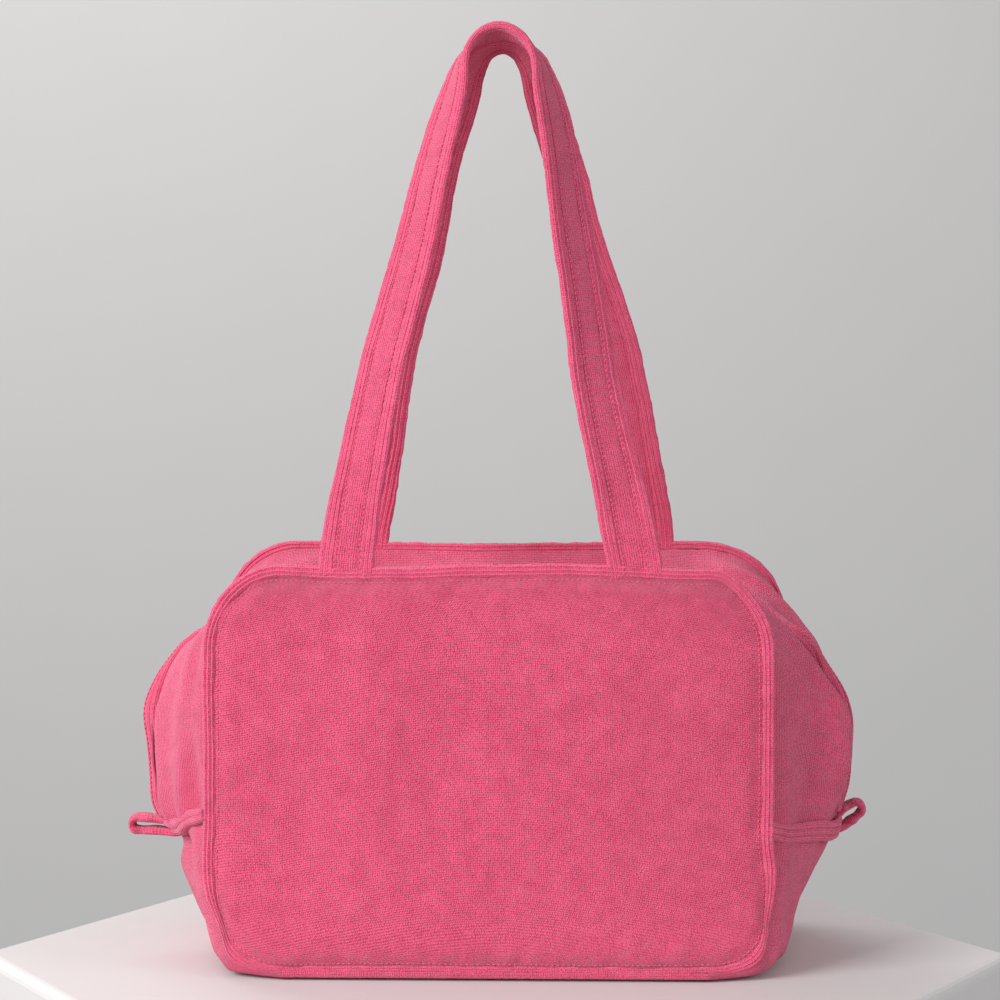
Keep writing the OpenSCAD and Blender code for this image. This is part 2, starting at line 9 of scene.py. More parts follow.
import bmesh
import bpy
import numpy as np
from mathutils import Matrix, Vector


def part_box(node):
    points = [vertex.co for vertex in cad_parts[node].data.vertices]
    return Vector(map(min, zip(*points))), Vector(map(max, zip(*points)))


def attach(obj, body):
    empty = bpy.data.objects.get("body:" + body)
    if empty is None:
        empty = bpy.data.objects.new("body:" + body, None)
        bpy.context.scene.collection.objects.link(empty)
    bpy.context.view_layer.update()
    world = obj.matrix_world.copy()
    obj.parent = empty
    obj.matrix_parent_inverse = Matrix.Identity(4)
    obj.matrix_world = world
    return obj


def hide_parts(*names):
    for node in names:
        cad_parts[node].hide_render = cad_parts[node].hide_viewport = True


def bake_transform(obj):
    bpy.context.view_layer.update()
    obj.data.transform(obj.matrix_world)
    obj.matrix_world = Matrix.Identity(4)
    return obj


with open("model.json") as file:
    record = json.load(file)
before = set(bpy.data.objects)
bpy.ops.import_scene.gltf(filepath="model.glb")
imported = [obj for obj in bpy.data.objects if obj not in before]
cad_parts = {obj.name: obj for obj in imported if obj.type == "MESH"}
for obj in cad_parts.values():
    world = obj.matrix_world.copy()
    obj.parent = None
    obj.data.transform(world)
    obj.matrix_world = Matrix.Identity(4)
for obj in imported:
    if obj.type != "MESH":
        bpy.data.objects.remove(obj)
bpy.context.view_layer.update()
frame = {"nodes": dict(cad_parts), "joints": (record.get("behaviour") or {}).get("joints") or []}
joints = {j["name"]: j for j in frame["joints"]}

# ---- sizes, from the frame ----

PIPING_R = 0.0033  # the frame's piped seams
PANEL_R = 0.045  # corners of the panels
CLOTH = 0.003
LINING = 0.001
LAYER_GAP = 0.0003

seam_low, seam_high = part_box("front_piping")
hem_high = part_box("front_zip_hem")[1]
cross_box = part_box("right_cross_seam")

panel_x = seam_high.x - PIPING_R  # half width of a panel
low_z, top_z = seam_low.z + PIPING_R, seam_high.z - PIPING_R
low_y, top_y = -(seam_low.y + PIPING_R), -(seam_high.y - PIPING_R)
panel_h = math.hypot(top_z - low_z, low_y - top_y)
mouth_x = hem_high.x
zip_z = hem_high.z
side_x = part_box("right_zip_hems")[1].x
cross_z = cross_box[0].z + PIPING_R
cross_h = cross_box[1].z - PIPING_R - low_z
base_x = panel_x - PANEL_R  # end of the straight base

SHOULDER_R = 0.06  # where the zip turns down the sides
BELLY_Z, BELLY_R = 0.113, 0.05  # the widest part of the sides
FOOT_OUT, HEEL_R = 0.010, 0.016  # where the sides meet the ground


# ---- paths ----

def unit(vectors):
    return vectors / np.linalg.norm(vectors, axis=-1, keepdims=True)


def arc(a, b, c, r, steps=20):
    """Points round the corner b between a and c, as an arc of radius r."""
    a, b, c = (np.array(p, float) for p in (a, b, c))
    if r == 0:
        return [b]
    u, w = unit(a - b), unit(c - b)
    half = math.acos(np.clip(u @ w, -1, 1)) / 2
    centre = b + unit(u + w) * r / math.sin(half)
    p, q = b + u * r / math.tan(half) - centre, b + w * r / math.tan(half) - centre
    start = math.atan2(p[1], p[0])
    turn = (math.atan2(q[1], q[0]) - start + math.pi) % (2 * math.pi) - math.pi
    angles = start + turn * np.linspace(0, 1, steps + 1)
    return [centre + r * np.array([math.cos(t), math.sin(t)]) for t in angles]


class Path:
    """A path with rounded corners, by distance along it."""

    def __init__(self, points, radii):
        inner = [arc(points[i - 1], points[i], points[i + 1], radii[i]) for i in range(1, len(points) - 1)]
        self.p = np.array([points[0]] + [q for part in inner for q in part] + [points[-1]], float)
        self.s = np.concatenate([[0], np.cumsum(np.linalg.norm(np.diff(self.p, axis=0), axis=1))])
        self.length = self.s[-1]

    def at(self, s):
        return np.stack([np.interp(s, self.s, self.p[:, k]) for k in range(self.p.shape[1])], -1)


# Right half of a panel's edge in its own plane, and of the side strips' middle line
edge_path = Path([(0, panel_h), (panel_x, panel_h), (panel_x, 0), (0, 0)], [0, PANEL_R, PANEL_R, 0])
middle_path = Path(
    [(0, zip_z), (side_x, zip_z), (side_x, BELLY_Z), (panel_x + FOOT_OUT, 0), (0, 0)],
    [0, SHOULDER_R, BELLY_R, HEEL_R, 0])

edge_cross = base_x + math.pi / 2 * PANEL_R + panel_h - PANEL_R - cross_h
edge_base = edge_path.length - base_x
middle_base = middle_path.length - base_x
falling = middle_path.p[::-1]
middle_cross = float(np.interp(cross_z, falling[:-1, 1], middle_path.s[::-1][:-1]))
EDGE_KEYS = [0, mouth_x, edge_cross, edge_base, edge_path.length]
MIDDLE_KEYS = [0, mouth_x, middle_cross, middle_base, middle_path.length]


# ---- small shape functions ----

def smooth(x, low, high):
    """0 below low, 1 above high, and smooth between."""
    t = np.clip((np.asarray(x, float) - low) / (high - low), 0, 1)
    return t * t * (3 - 2 * t)


def bump(x, centre, width):
    return np.exp(-(((np.asarray(x, float) - centre) / width) ** 2))


def waves(p, scale, seed):
    """Soft noise from about -1 to 1, whose features are about scale across."""
    rng = np.random.default_rng(seed)
    total = 0
    for _ in range(9):
        k = rng.normal(size=p.shape[-1])
        k *= 2 * math.pi / scale / np.linalg.norm(k) * rng.uniform(0.6, 1.5)
        total = total + np.sin(p @ k + rng.uniform(0, 2 * math.pi))
    return total / 3.6


def normals(grid):
    du, dv = np.gradient(grid, axis=0), np.gradient(grid, axis=1)
    n = np.cross(du, dv)
    return n / np.maximum(np.linalg.norm(n, axis=-1, keepdims=True), 1e-12)


def across_run(vectors, run):
    """The unit vectors' part square to the run."""
    return unit(vectors - run * np.sum(vectors * run, axis=-1, keepdims=True))


def lengths(grid, axis):
    """Distance along each line of a grid, from its start."""
    step = np.linalg.norm(np.diff(grid, axis=axis), axis=-1)
    first = np.zeros_like(np.take(step, [0], axis=axis))
    return np.cumsum(np.concatenate([first, step], axis=axis), axis=axis)


# ---- how the cloth has settled ----

BACK_DIP, BACK_ROLL = 0.0012, 0.0018  # the back's top seam between the handles: down, and forwards
SHOULDER_OUT = 0.0052  # the back's right shoulder
RIGHT_UNDER, LEFT_UNDER, LOOP_UNDER = 0.0088, 0.0105, 0.0105  # the sides drawn in low down, and under the left loop
FRONT_RIGHT_IN, FRONT_LEFT_IN = 0.0108, 0.0030  # the front panel's sides
CROSS_UP_RIGHT, CROSS_UP_SEAM, CROSS_UP_LEFT = 0.0062, 0.0080, 0.0018
SEAMS_SUNK = 0.34  # share of their height that the lower seams lose
ZIP_SUNK = 0.0038
ZIP_FORWARDS, ZIP_BACK = 0.0105, 0.0030  # the zip's swing on the right and on the left
TOP_WAVE, TOP_WAVE_TURN = 0.0011, 31.0
SIDE_FROM, SIDE_TO = 0.150, 0.172  # between these |x| a panel's edge becomes the side
CROSS_HEIGHT = 0.083


def settle(p):
    """Where the sewn cloth has sagged to: the same shift for every piece at a place, so that seams stay closed."""
    p = np.asarray(p, float)
    x, y, z = p[..., 0], p[..., 1], p[..., 2]
    out = p.copy()
    right, left = smooth(x, SIDE_FROM, SIDE_TO), smooth(-x, SIDE_FROM, SIDE_TO)
    below_handles = smooth(z, 0.262, 0.244)
    # the back's top seam sags between the handles and rolls forwards
    dip = (bump(x, -0.012, 0.052) + 0.25 * bump(x, 0.045, 0.02)) * smooth(y, 0.02, 0.062) * smooth(z, 0.165, 0.235)
    out[..., 2] -= BACK_DIP * dip * below_handles
    out[..., 1] -= BACK_ROLL * dip * below_handles
    # the back's right shoulder leans out
    out[..., 0] += SHOULDER_OUT * smooth(x, 0.09, 0.165) * smooth(z, 0.14, 0.2) * smooth(y, 0.0, 0.05)
    # the sides are drawn in under the loops, most behind the left one
    out[..., 0] -= RIGHT_UNDER * smooth(z, 0.072, 0.032) * right
    behind_loop = bump(z, 0.066, 0.0115) * smooth(y, -0.066, -0.035) * smooth(-x, 0.216, 0.201)
    out[..., 0] += (LEFT_UNDER * smooth(z, 0.072, 0.012) + LOOP_UNDER * behind_loop) * left
    # the front panel's sides are drawn in above the ground, more on the right
    wide_at = 0.06 + 0.055 * smooth(z, 0.17, 0.215)
    in_front = smooth(-y, 0.02, 0.062) * below_handles
    out[..., 0] -= FRONT_RIGHT_IN * in_front * smooth(z, 0.020, 0.085) * smooth(x, wide_at, 0.160)
    out[..., 0] += FRONT_LEFT_IN * in_front * smooth(z, 0.035, 0.085) * smooth(-x, wide_at, 0.160)
    # the cross seams run up to the right loop, and down to the left one
    at_cross = bump(z, CROSS_HEIGHT, 0.028)
    out[..., 2] += CROSS_UP_RIGHT * at_cross * smooth(x, 0.172, 0.205)
    at_seam = smooth(-x, 0.125, 0.160) * smooth(-x, 0.205, 0.178)
    out[..., 2] += CROSS_UP_SEAM * bump(z, CROSS_HEIGHT, 0.026) * at_seam
    out[..., 2] += CROSS_UP_LEFT * at_cross * smooth(-x, 0.185, 0.205)
    # the lower seams have sunk towards the ground
    near_wall = smooth(np.maximum(np.abs(y) - 0.055, (np.abs(x) - 0.14) * 0.8), 0.0, 0.02)
    out[..., 2] -= z * SEAMS_SUNK * smooth(z, 0.035, 0.008) * near_wall
    # the zip's ends have sunk in a little
    out[..., 0] -= np.sign(x) * ZIP_SUNK * smooth(np.abs(x), 0.178, 0.205) * smooth(z, 0.085, 0.12)
    # on the right the zip has swung forwards, and on the left a little back
    swing = smooth(z, 0.075, 0.12) * smooth(z, 0.222, 0.185) * smooth(np.maximum(0.05 - np.abs(y), 0), 0.0, 0.05)
    out[..., 1] -= ZIP_FORWARDS * swing * smooth(x, 0.165, 0.195)
    out[..., 1] += ZIP_BACK * swing * smooth(-x, 0.165, 0.195)
    # the front's top edge waves a little
    at_top = smooth(z, 0.2, 0.236) * smooth(-y, 0.03, 0.06) * smooth(z, 0.25, 0.24)
    out[..., 2] += TOP_WAVE * np.sin(x * TOP_WAVE_TURN + 0.8) * at_top
    return out


# ---- meshes ----

def make(name, verts, faces, uvs, material=None, body=None, replaces=(), slot="terry", jump=None):
    """A mesh object that rides on a body and stands for CAD nodes. uvs are in metres of cloth, and jump is
    their whole length and girth on a sweep, so that the faces that close it carry on instead of running back."""
    me = bpy.data.meshes.new(name)
    me.from_pydata(settle(verts).reshape(-1, 3).tolist(), [], [list(map(int, f)) for f in faces])
    corner = np.zeros(len(me.loops), np.int32)
    me.loops.foreach_get("vertex_index", corner)
    uv = np.asarray(uvs, float).reshape(-1, 2)[corner]
    if jump is not None:
        sides = np.array([f.loop_total for f in me.polygons])
        high = np.repeat(np.maximum.reduceat(uv, [f.loop_start for f in me.polygons]), sides, axis=0)
        quad = np.repeat(sides == 4, sides)
        behind = (high - uv > np.array(jump) / 2) & quad[:, None]
        uv = uv + behind * np.array(jump)
    me.uv_layers.new(name="cloth").uv.foreach_set("vector", uv.astype(np.float32).ravel())
    form = bmesh.new()
    form.from_mesh(me)
    bmesh.ops.recalc_face_normals(form, faces=form.faces)
    form.to_mesh(me)
    form.free()
    me.shade_smooth()
    me.set_sharp_from_angle(angle=math.radians(55))
    ob = bpy.data.objects.new(name, me)
    bpy.context.scene.collection.objects.link(ob)
    if material:
        me.materials.append(material)
    if replaces:
        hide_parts(*replaces)
    if body:
        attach(ob, body)
    return ob


def grid_faces(rows, cols, start=0, wrap=False):
    """Quads of a grid of vertices. wrap joins the last column to the first."""
    i = np.arange(rows - 1)[:, None]
    j = np.arange(cols if wrap else cols - 1)[None, :]
    k = (j + 1) % cols
    return (np.stack([i * cols + j, i * cols + k, (i + 1) * cols + k, (i + 1) * cols + j], -1).reshape(-1, 4)
            + start).tolist()


def shell(grid, thick, inwards, lead=0):
    """Vertices, faces and uvs of a closed sheet whose outer side is the grid. inwards points roughly inside.
    The first lead rows only steady the normals, and are then left out."""
    n = normals(grid)
    facing = np.sign(np.sum(n * inwards)) or 1
    grid, n = grid[lead:], n[lead:]
    rows, cols = grid.shape[:2]
    verts = np.concatenate([grid.reshape(-1, 3), (grid + n * facing * thick).reshape(-1, 3)])
    size = rows * cols
    ring = [*range(cols), *(r * cols + cols - 1 for r in range(1, rows)),
            *((rows - 1) * cols + c for c in range(cols - 2, -1, -1)), *(r * cols for r in range(rows - 2, 0, -1))]
    rim = [(p, q, q + size, p + size) for p, q in zip(ring, ring[1:] + ring[:1])]
    uv = np.stack([lengths(grid, 0), lengths(grid, 1)], -1).reshape(-1, 2)
    return verts, grid_faces(rows, cols) + grid_faces(rows, cols, size) + rim, np.concatenate([uv, uv])


def cloth(name, grid, inwards, thick=CLOTH, lead=0, **more):
    verts, faces, uv = shell(grid, thick, np.asarray(inwards, float), lead)
    return make(name, verts, faces, uv, **more)


def sweep(name, centres, across, up, profile, closed=False, **more):
    """A solid of one profile carried along centres. profile is (points, 2) or one such outline per ring."""
    rings, outline = len(centres), np.asarray(profile, float)
    if outline.ndim == 2:
        outline = np.repeat(outline[None], rings, 0)
    count = outline.shape[1]
    points = centres[:, None] + across[:, None] * outline[..., :1] + up[:, None] * outline[..., 1:]
    s = np.concatenate([[0], np.cumsum(np.linalg.norm(np.diff(centres, axis=0), axis=1))])
    girth = np.concatenate([[0], np.cumsum(np.linalg.norm(np.diff(outline[0], axis=0), axis=1))])
    jump = (s[-1] + s[1] if closed else 1e9, girth[-1] + girth[1])
    uv = np.stack(np.broadcast_arrays(s[:, None], girth[None]), -1).reshape(-1, 2)
    faces = grid_faces(rings, count, wrap=True)
    last = (rings - 1) * count
    if closed:
        faces += [(last + j, last + (j + 1) % count, (j + 1) % count, j) for j in range(count)]
    else:
        faces += [list(range(count)), [last + j for j in range(count)]]
    return make(name, points.reshape(-1, 3), faces, uv, jump=jump, **more)


def ribbed(half, tall, ridges, groove, count=26, back=0.85):
    """Outline of a flattened, bound edge: half wide and tall each way, with ridges parted by narrow grooves."""
    turn = np.linspace(0, math.pi, count)
    x = -np.cos(turn)
    body = tall * np.maximum(1 - np.abs(x) ** 3.2, 0.0) ** 0.5
    lines = 1 - groove * (1 - np.abs(np.sin(math.pi * ridges * (x + 1) / 2)) ** 0.55) if ridges else 1
    top = np.stack([x * half, body * lines], -1)
    base = np.stack([x * half, -body * back * lines], -1)[::-1]
    return np.concatenate([top, base[1:-1]])


# ---- materials ----

class Nodes:
    """Short way to add nodes to a material."""

    def __init__(self, name, roughness, **constants):
        self.m = bpy.data.materials.new(name)
        self.m.use_nodes = True
        self.tree = self.m.node_tree
        self.shader = self.tree.nodes["Principled BSDF"]
        self.shader.inputs["Roughness"].default_value = roughness
        for key, value in constants.items():
            self.shader.inputs[key.replace("_", " ")].default_value = value
        self.place = self.add("ShaderNodeTexCoord").outputs["Object"]

    def add(self, kind, inputs=None, **settings):
        node = self.tree.nodes.new(kind)
        for key, value in settings.items():
            setattr(node, key, value)
        for key, value in (inputs or {}).items():
            if isinstance(value, bpy.types.NodeSocket):
                self.tree.links.new(value, node.inputs[key])
            else:
                node.inputs[key].default_value = value
        return node

    def noise(self, scale, detail, where=None, roughness=0.5, out="Fac"):
        where = self.place if where is None else where
        inputs = {"Vector": where, "Scale": scale, "Detail": detail, "Roughness": roughness}
        return self.add("ShaderNodeTexNoise", inputs).outputs[out]

    def spread(self, value, low, high):
        return self.add("ShaderNodeMapRange", {"Value": value, "From Min": low, "From Max": high}).outputs[0]

    def math(self, operation, a, b=0.0, c=0.0):
        return self.add("ShaderNodeMath", {0: a, 1: b, 2: c}, operation=operation).outputs[0]

    def link(self, socket, to):
        self.tree.links.new(socket, self.shader.inputs[to])

    def mix(self, factor, a, b):
        node = self.add("ShaderNodeMix", data_type="RGBA")
        for key, value in (("Factor_Float", factor), ("A_Color", a), ("B_Color", b)):
            socket = next(s for s in node.inputs if s.identifier == key)
            if isinstance(value, bpy.types.NodeSocket):
                self.tree.links.new(value, socket)
            else:
                socket.default_value = value
        return next(s for s in node.outputs if s.identifier == "Result_Color")

    def bump(self, height, distance, strength=1.0):
        node = self.add("ShaderNodeBump", {"Height": height, "Distance": distance, "Strength": strength})
        self.link(node.outputs[0], "Normal")


def srgb(r, g, b, shade=1.0):
    """Linear colour of an 8-bit sRGB one."""
    c = np.array([r, g, b]) / 255
    lin = np.where(c <= 0.04045, c / 12.92, ((c + 0.055) / 1.055) ** 2.4) * shade
    return (*np.clip(lin, 0, 1), 1)


LOOP_ROW, LOOP_STEP = 0.00135, 0.00105  # spacing of the terry's rows of loops, and of loops in a row
TONE_START = -0.05  # how dark the painted shade in the gaps between loops is, before what the rest adds


def terry(name, light, deep, rows_along=True, pile=0.0008):
    """Looped terry: rows of loops with painted shade in the gaps between loops and rows, soft patches where the pile
    lies over, and a pale sheen.
    """
    n = Nodes(name, 0.92, Sheen_Weight=0.52, Sheen_Roughness=0.5, Sheen_Tint=(1.0, 0.58, 0.73, 1),
              Specular_IOR_Level=0.1)
    uv = n.add("ShaderNodeUVMap", uv_map="cloth").outputs[0]
    stray = n.noise(330.0, 2.0, out="Color")
    shift = n.add("ShaderNodeVectorMath", {0: stray, "Scale": 0.00035}, operation="SCALE").outputs[0]
    moved = n.add("ShaderNodeVectorMath", {0: uv, 1: shift}, operation="ADD").outputs[0]
    sizes = (1 / LOOP_ROW, 1 / LOOP_STEP, 1) if rows_along else (1 / LOOP_STEP, 1 / LOOP_ROW, 1)
    scaled = n.add("ShaderNodeVectorMath", {0: moved, 1: sizes}, operation="MULTIPLY").outputs[0]
    cell = n.add("ShaderNodeTexVoronoi", {"Vector": scaled, "Scale": 1.0, "Randomness": 0.40, "Smoothness": 0.45},
                 voronoi_dimensions="2D", feature="SMOOTH_F1")
    loop = n.spread(cell.outputs["Distance"], 0.62, 0.08)
    axis = n.add("ShaderNodeSeparateXYZ", {0: scaled}).outputs[0 if rows_along else 1]
    row = n.math("MULTIPLY_ADD", n.math("COSINE", n.math("MULTIPLY", axis, 2 * math.pi)), 0.5, 0.5)
    fuzz = n.noise(1500.0, 3.0)
    lie = n.spread(n.noise(110.0, 4.0, roughness=0.6), 0.36, 0.68)
    drift = n.spread(n.noise(17.0, 2.0), 0.3, 0.7)
    tone = TONE_START
    # the loops and the rows darken the tone between them: painted shade in their gaps, over their bump; lie, drift and
    # fuzz vary the tone at random
    for socket, weight in ((lie, 0.16), (drift, 0.08), (loop, 0.54), (row, 0.20), (fuzz, 0.26)):
        tone = n.math("MULTIPLY_ADD", socket, weight, tone)
    n.link(n.mix(tone, deep, light), "Base Color")
    n.link(n.math("MULTIPLY_ADD", loop, -0.1, 0.98), "Roughness")
    height = 0.0
    for socket, weight in ((loop, 0.75), (row, 0.35), (fuzz, 0.5), (lie, 0.3)):
        height = n.math("MULTIPLY_ADD", socket, weight, height)
    n.bump(height, pile, 1.0)
    return n.m


def weave(name, light, deep, step=0.0006, roughness=0.8, relief=0.0001):
    """Plain woven cloth: threads over and under in both directions."""
    n = Nodes(name, roughness, Sheen_Weight=0.15, Sheen_Roughness=0.4)
    uv = n.add("ShaderNodeUVMap", uv_map="cloth").outputs[0]
    xy = n.add("ShaderNodeSeparateXYZ", {0: uv})
    slub = n.noise(260.0, 3.0)
    turn = 2 * math.pi / step
    warp = n.math("SINE", n.math("MULTIPLY", xy.outputs[0], turn))
    weft = n.math("SINE", n.math("MULTIPLY", xy.outputs[1], turn))
    over = n.math("MULTIPLY", warp, weft)
    height = n.math("MULTIPLY_ADD", slub, 0.6, over)
    tone = n.math("MULTIPLY_ADD", over, 0.25, n.math("MULTIPLY_ADD", slub, 0.8, 0.1))
    n.link(n.mix(tone, deep, light), "Base Color")
    n.bump(height, relief, 0.8)
    return n.m


def metal(name, colour):
    """Cast and tumbled zip metal, brushed a little and worn brighter in places."""
    n = Nodes(name, 0.3, Metallic=1.0)
    grain = n.add("ShaderNodeMapping", {"Vector": n.place, "Scale": (400.0, 3000.0, 3000.0)}).outputs[0]
    brushed = n.noise(1.0, 2.0, grain)
    worn = n.noise(180.0, 4.0)
    n.link(n.mix(worn, srgb(*colour, shade=0.72), srgb(*colour)), "Base Color")
    n.link(n.math("MULTIPLY_ADD", worn, 0.28, 0.2), "Roughness")
    n.bump(brushed, 0.00003, 0.5)
    return n.m


def plastic(name, light, deep, roughness=0.45, grain=900.0):
    n = Nodes(name, roughness)
    speck = n.noise(grain, 3.0)
    n.link(n.mix(speck, deep, light), "Base Color")
    n.link(n.math("MULTIPLY_ADD", speck, 0.2, roughness - 0.1), "Roughness")
    n.bump(speck, 0.00004, 0.6)
    return n.m


def plain(name, colour, roughness, grain):
    """Painted floor and wall of the studio."""
    n = Nodes(name, roughness)
    mottle = n.noise(grain, 4.0)
    n.link(n.mix(mottle, srgb(*colour, shade=0.97), srgb(*colour)), "Base Color")
    n.bump(mottle, 0.0004, 0.3)
    return n.m


# DEEP and SEAM_DEEP are the terry's deeper pink, and also the colour of the painted shade in the gaps between its
# loops
PINK, DEEP = srgb(255, 111, 147), srgb(180, 25, 72)
SEAM_PINK, SEAM_DEEP = srgb(255, 114, 150), srgb(176, 25, 72)
body_terry = terry("terry", PINK, DEEP)
strip_terry = terry("terry_strip", PINK, DEEP, rows_along=False)
edge_terry = terry("terry_bound", SEAM_PINK, SEAM_DEEP, rows_along=False, pile=0.0006)
lining_cloth = weave("lining", srgb(226, 120, 150), srgb(176, 70, 104))
tape_cloth = weave("zip_tape", srgb(214, 84, 120), srgb(150, 40, 74), step=0.0009)
coil_plastic = plastic("zip_coil", srgb(232, 110, 145), srgb(190, 60, 100))
board_plastic = plastic("stiffener", srgb(62, 62, 66), srgb(40, 40, 44), roughness=0.6)
zip_metal = metal("zip_metal", (205, 200, 196))
label_cloth = weave("label", srgb(246, 242, 236), srgb(214, 208, 200), step=0.0005, roughness=0.55)
thread = weave("thread", srgb(243, 106, 140), srgb(214, 78, 112), step=0.0005, relief=0.00005)


# ---- the panels ----

PANEL_FACE = 0.0015  # a panel's outer side, out from the middle of its cloth
PANEL_SEED = {-1: 11, 1: 47}


def panel_point(x, h, out=0.0):
    """A point of the front panel at x along it and h up it, moved out by out."""
    t = h / panel_h
    y = -(low_y + (top_y - low_y) * t)
    z = low_z + (top_z - low_z) * t
    slope = math.atan2(low_y - top_y, top_z - low_z)
    return np.stack(np.broadcast_arrays(x, y - out * math.cos(slope), z + out * math.sin(slope)), -1)


def edge_gap(x, h):
    """Distance in from a panel's edge."""
    qx = np.abs(x) - base_x
    qh = np.abs(h - panel_h / 2) - (panel_h / 2 - PANEL_R)
    outside = np.hypot(np.maximum(qx, 0), np.maximum(qh, 0))
    return PANEL_R - outside - np.minimum(np.maximum(qx, qh), 0)


def panel_swell(x, h, seed):
    """How far the cloth of a panel stands out: full in the middle, drawn in beside its seam."""
    gap = edge_gap(x, h)
    place = np.stack(np.broadcast_arrays(x, h), -1)
    full = 0.0042 * (1 - (x / panel_x) ** 4) * (1 - (2 * h / panel_h - 1) ** 4)
    roll = 0.0026 * smooth(gap, 0.003, 0.013)
    drag = waves(place * [1, 0.55], 0.085, seed) * 0.0011 * smooth(gap, 0.004, 0.05)
    pucker = waves(place, 0.017, seed + 1) * 0.00045 * bump(gap, 0.009, 0.008)
    slack = waves(place, 0.03, seed + 2) * 0.0004
    return full + roll + drag + pucker + slack - 0.001


def panel_grid(inset, step, depth, seed):
    """Points over a panel, inset from its edge, at depth under its outer side."""
    even = np.linspace(0, 1, int(panel_h / step) + 1)
    share = 0.72 * even + 0.28 * (1 - np.cos(math.pi * even)) / 2
    h = inset + (panel_h - 2 * inset) * share[:, None]
    # the rows keep the shape of the edge as they step in from it
    r = PANEL_R - inset
    c = np.maximum(np.maximum(PANEL_R - h, h - (panel_h - PANEL_R)), 0)
    half = base_x + np.sqrt(np.maximum(r**2 - c**2, 0))
    u = np.linspace(-1, 1, int(2 * panel_x / step) + 1)[None, :]
    x = u * half
    return panel_point(x, h, PANEL_FACE + panel_swell(x, h, seed) - depth)


def face_of(grid, face):
    """The same points on the front (-1) or the back (+1) of the bag."""
    return grid * np.array([1, -face, 1])


def edge_wander(s, total, seed):
    """A sewn edge is never quite straight: small steps to the side, which meet up all the way round."""
    rng = np.random.default_rng(seed)
    turns = 2 * math.pi * s / total
    sway = sum(rng.uniform(0.3, 1) * np.sin(k * turns + rng.uniform(0, 6.3)) / (1 + 0.12 * k) for k in range(3, 22, 2))
    return sway * 0.00035


def seam_loop(step, seed):
    """Centres, outward directions and normals all round a panel's piped edge."""
    total = 2 * edge_path.length
    s = np.linspace(0, total, int(total / step), endpoint=False)
    mirrored = s > edge_path.length
    near = np.where(mirrored, total - s, s)
    sign = np.where(mirrored, -1, 1)[:, None]
    at = edge_path.at(near) * np.concatenate([sign, np.ones_like(sign)], 1)
    ahead = unit(np.roll(at, -1, 0) - np.roll(at, 1, 0))
    out = np.stack([-ahead[:, 1], ahead[:, 0]], -1)
    at = at + out * edge_wander(s, total, seed)[:, None]
    centre = panel_point(at[:, 0], at[:, 1])
    outward = unit(panel_point(at[:, 0] + out[:, 0], at[:, 1] + out[:, 1]) - centre)
    run = unit(np.roll(centre, -1, 0) - np.roll(centre, 1, 0))
    return s, centre, outward, np.cross(run, outward)


def ridged(outline, s, seed, rough=0.00022):
    """The outline at each station, with the unevenness of gathered cloth."""
    a = np.linspace(0, 2 * math.pi, len(outline), endpoint=False)
    where = np.stack(np.broadcast_arrays(s[:, None], 0.004 * np.cos(a)[None], 0.004 * np.sin(a)[None]), -1)
    scale = 1 + (waves(where, 0.008, seed) + 0.6 * waves(where, 0.03, seed + 5)) * rough / 0.0033
    return outline[None] * scale[..., None]


SEAM_PROFILE = ribbed(0.0037, 0.0021, 3, 0.42, 34, back=1.1)


def piped_seam(name, face, seed, **more):
    s, centre, outward, lift = seam_loop(0.0022, seed)
    if lift[0] @ np.array([0, -1, 0]) < 0:
        lift = -lift
    centre, outward, lift = (face_of(p, face) for p in (centre, outward, lift))
    return sweep(name, centre, outward, lift, ridged(SEAM_PROFILE, s, seed + 3), closed=True,
                 material=edge_terry, body="bag", **more)


LINING_DEPTH = CLOTH + 0.0022  # under the outer side of a panel

for face, side in ((-1, "front"), (1, "back")):
    seed = PANEL_SEED[face]
    grid = panel_grid(0.0005, 0.003, 0, seed)
    cloth(f"{side}_panel_cloth", face_of(grid, face), (0, -face, 0), material=body_terry, body="bag",
          replaces=[f"{side}_panel"])
    piped_seam(f"{side}_piped_seam", face, seed, replaces=[f"{side}_piping"])
    inner = panel_grid(0.006, 0.005, LINING_DEPTH, seed)
    cloth(f"{side}_lining_cloth", face_of(inner, face), (0, -face, 0), thick=LINING, material=lining_cloth,
          body="bag", replaces=[f"{side}_lining"], slot="lining")


# ---- the side and top strips ----

SEAM_TUCK = 0.001  # how far a strip's edge is tucked under the piping
# How round the strips are on each side, from the top's middle down to the ground
FULLNESS = {1: [0.55, 0.45, 0.62, 1.40, 1.25, 0.55], -1: [0.55, 0.5, 0.5, 0.8, 0.75, 0.35]}
# Depth of the hollow beside the zip, as a share of the strip's width
KEEL = {1: 0.42, -1: 0.08}
# How the hollow runs down the strip: where along it, how far across, how wide and how deep
KEEL_AT = [0, 0.14, 0.3, 0.45, 0.6, 0.8, 1.0]
KEEL_V = [0.45, 0.50, 0.62, 0.72, 0.77, 0.78, 0.78]
KEEL_WIDTH = [0.14, 0.16, 0.17, 0.12, 0.09, 0.085, 0.085]
KEEL_DEPTH = [0, 0.45, 1.0, 1.0, 0.95, 0.7, 0]
# The long folds of each side: how many there are across a strip, how deep, and how far and how often they swing
FOLDS = {1: (2.1, 0.0013, 2.2, 5.2), -1: (3.1, 0.0030, 1.1, 3.1)}


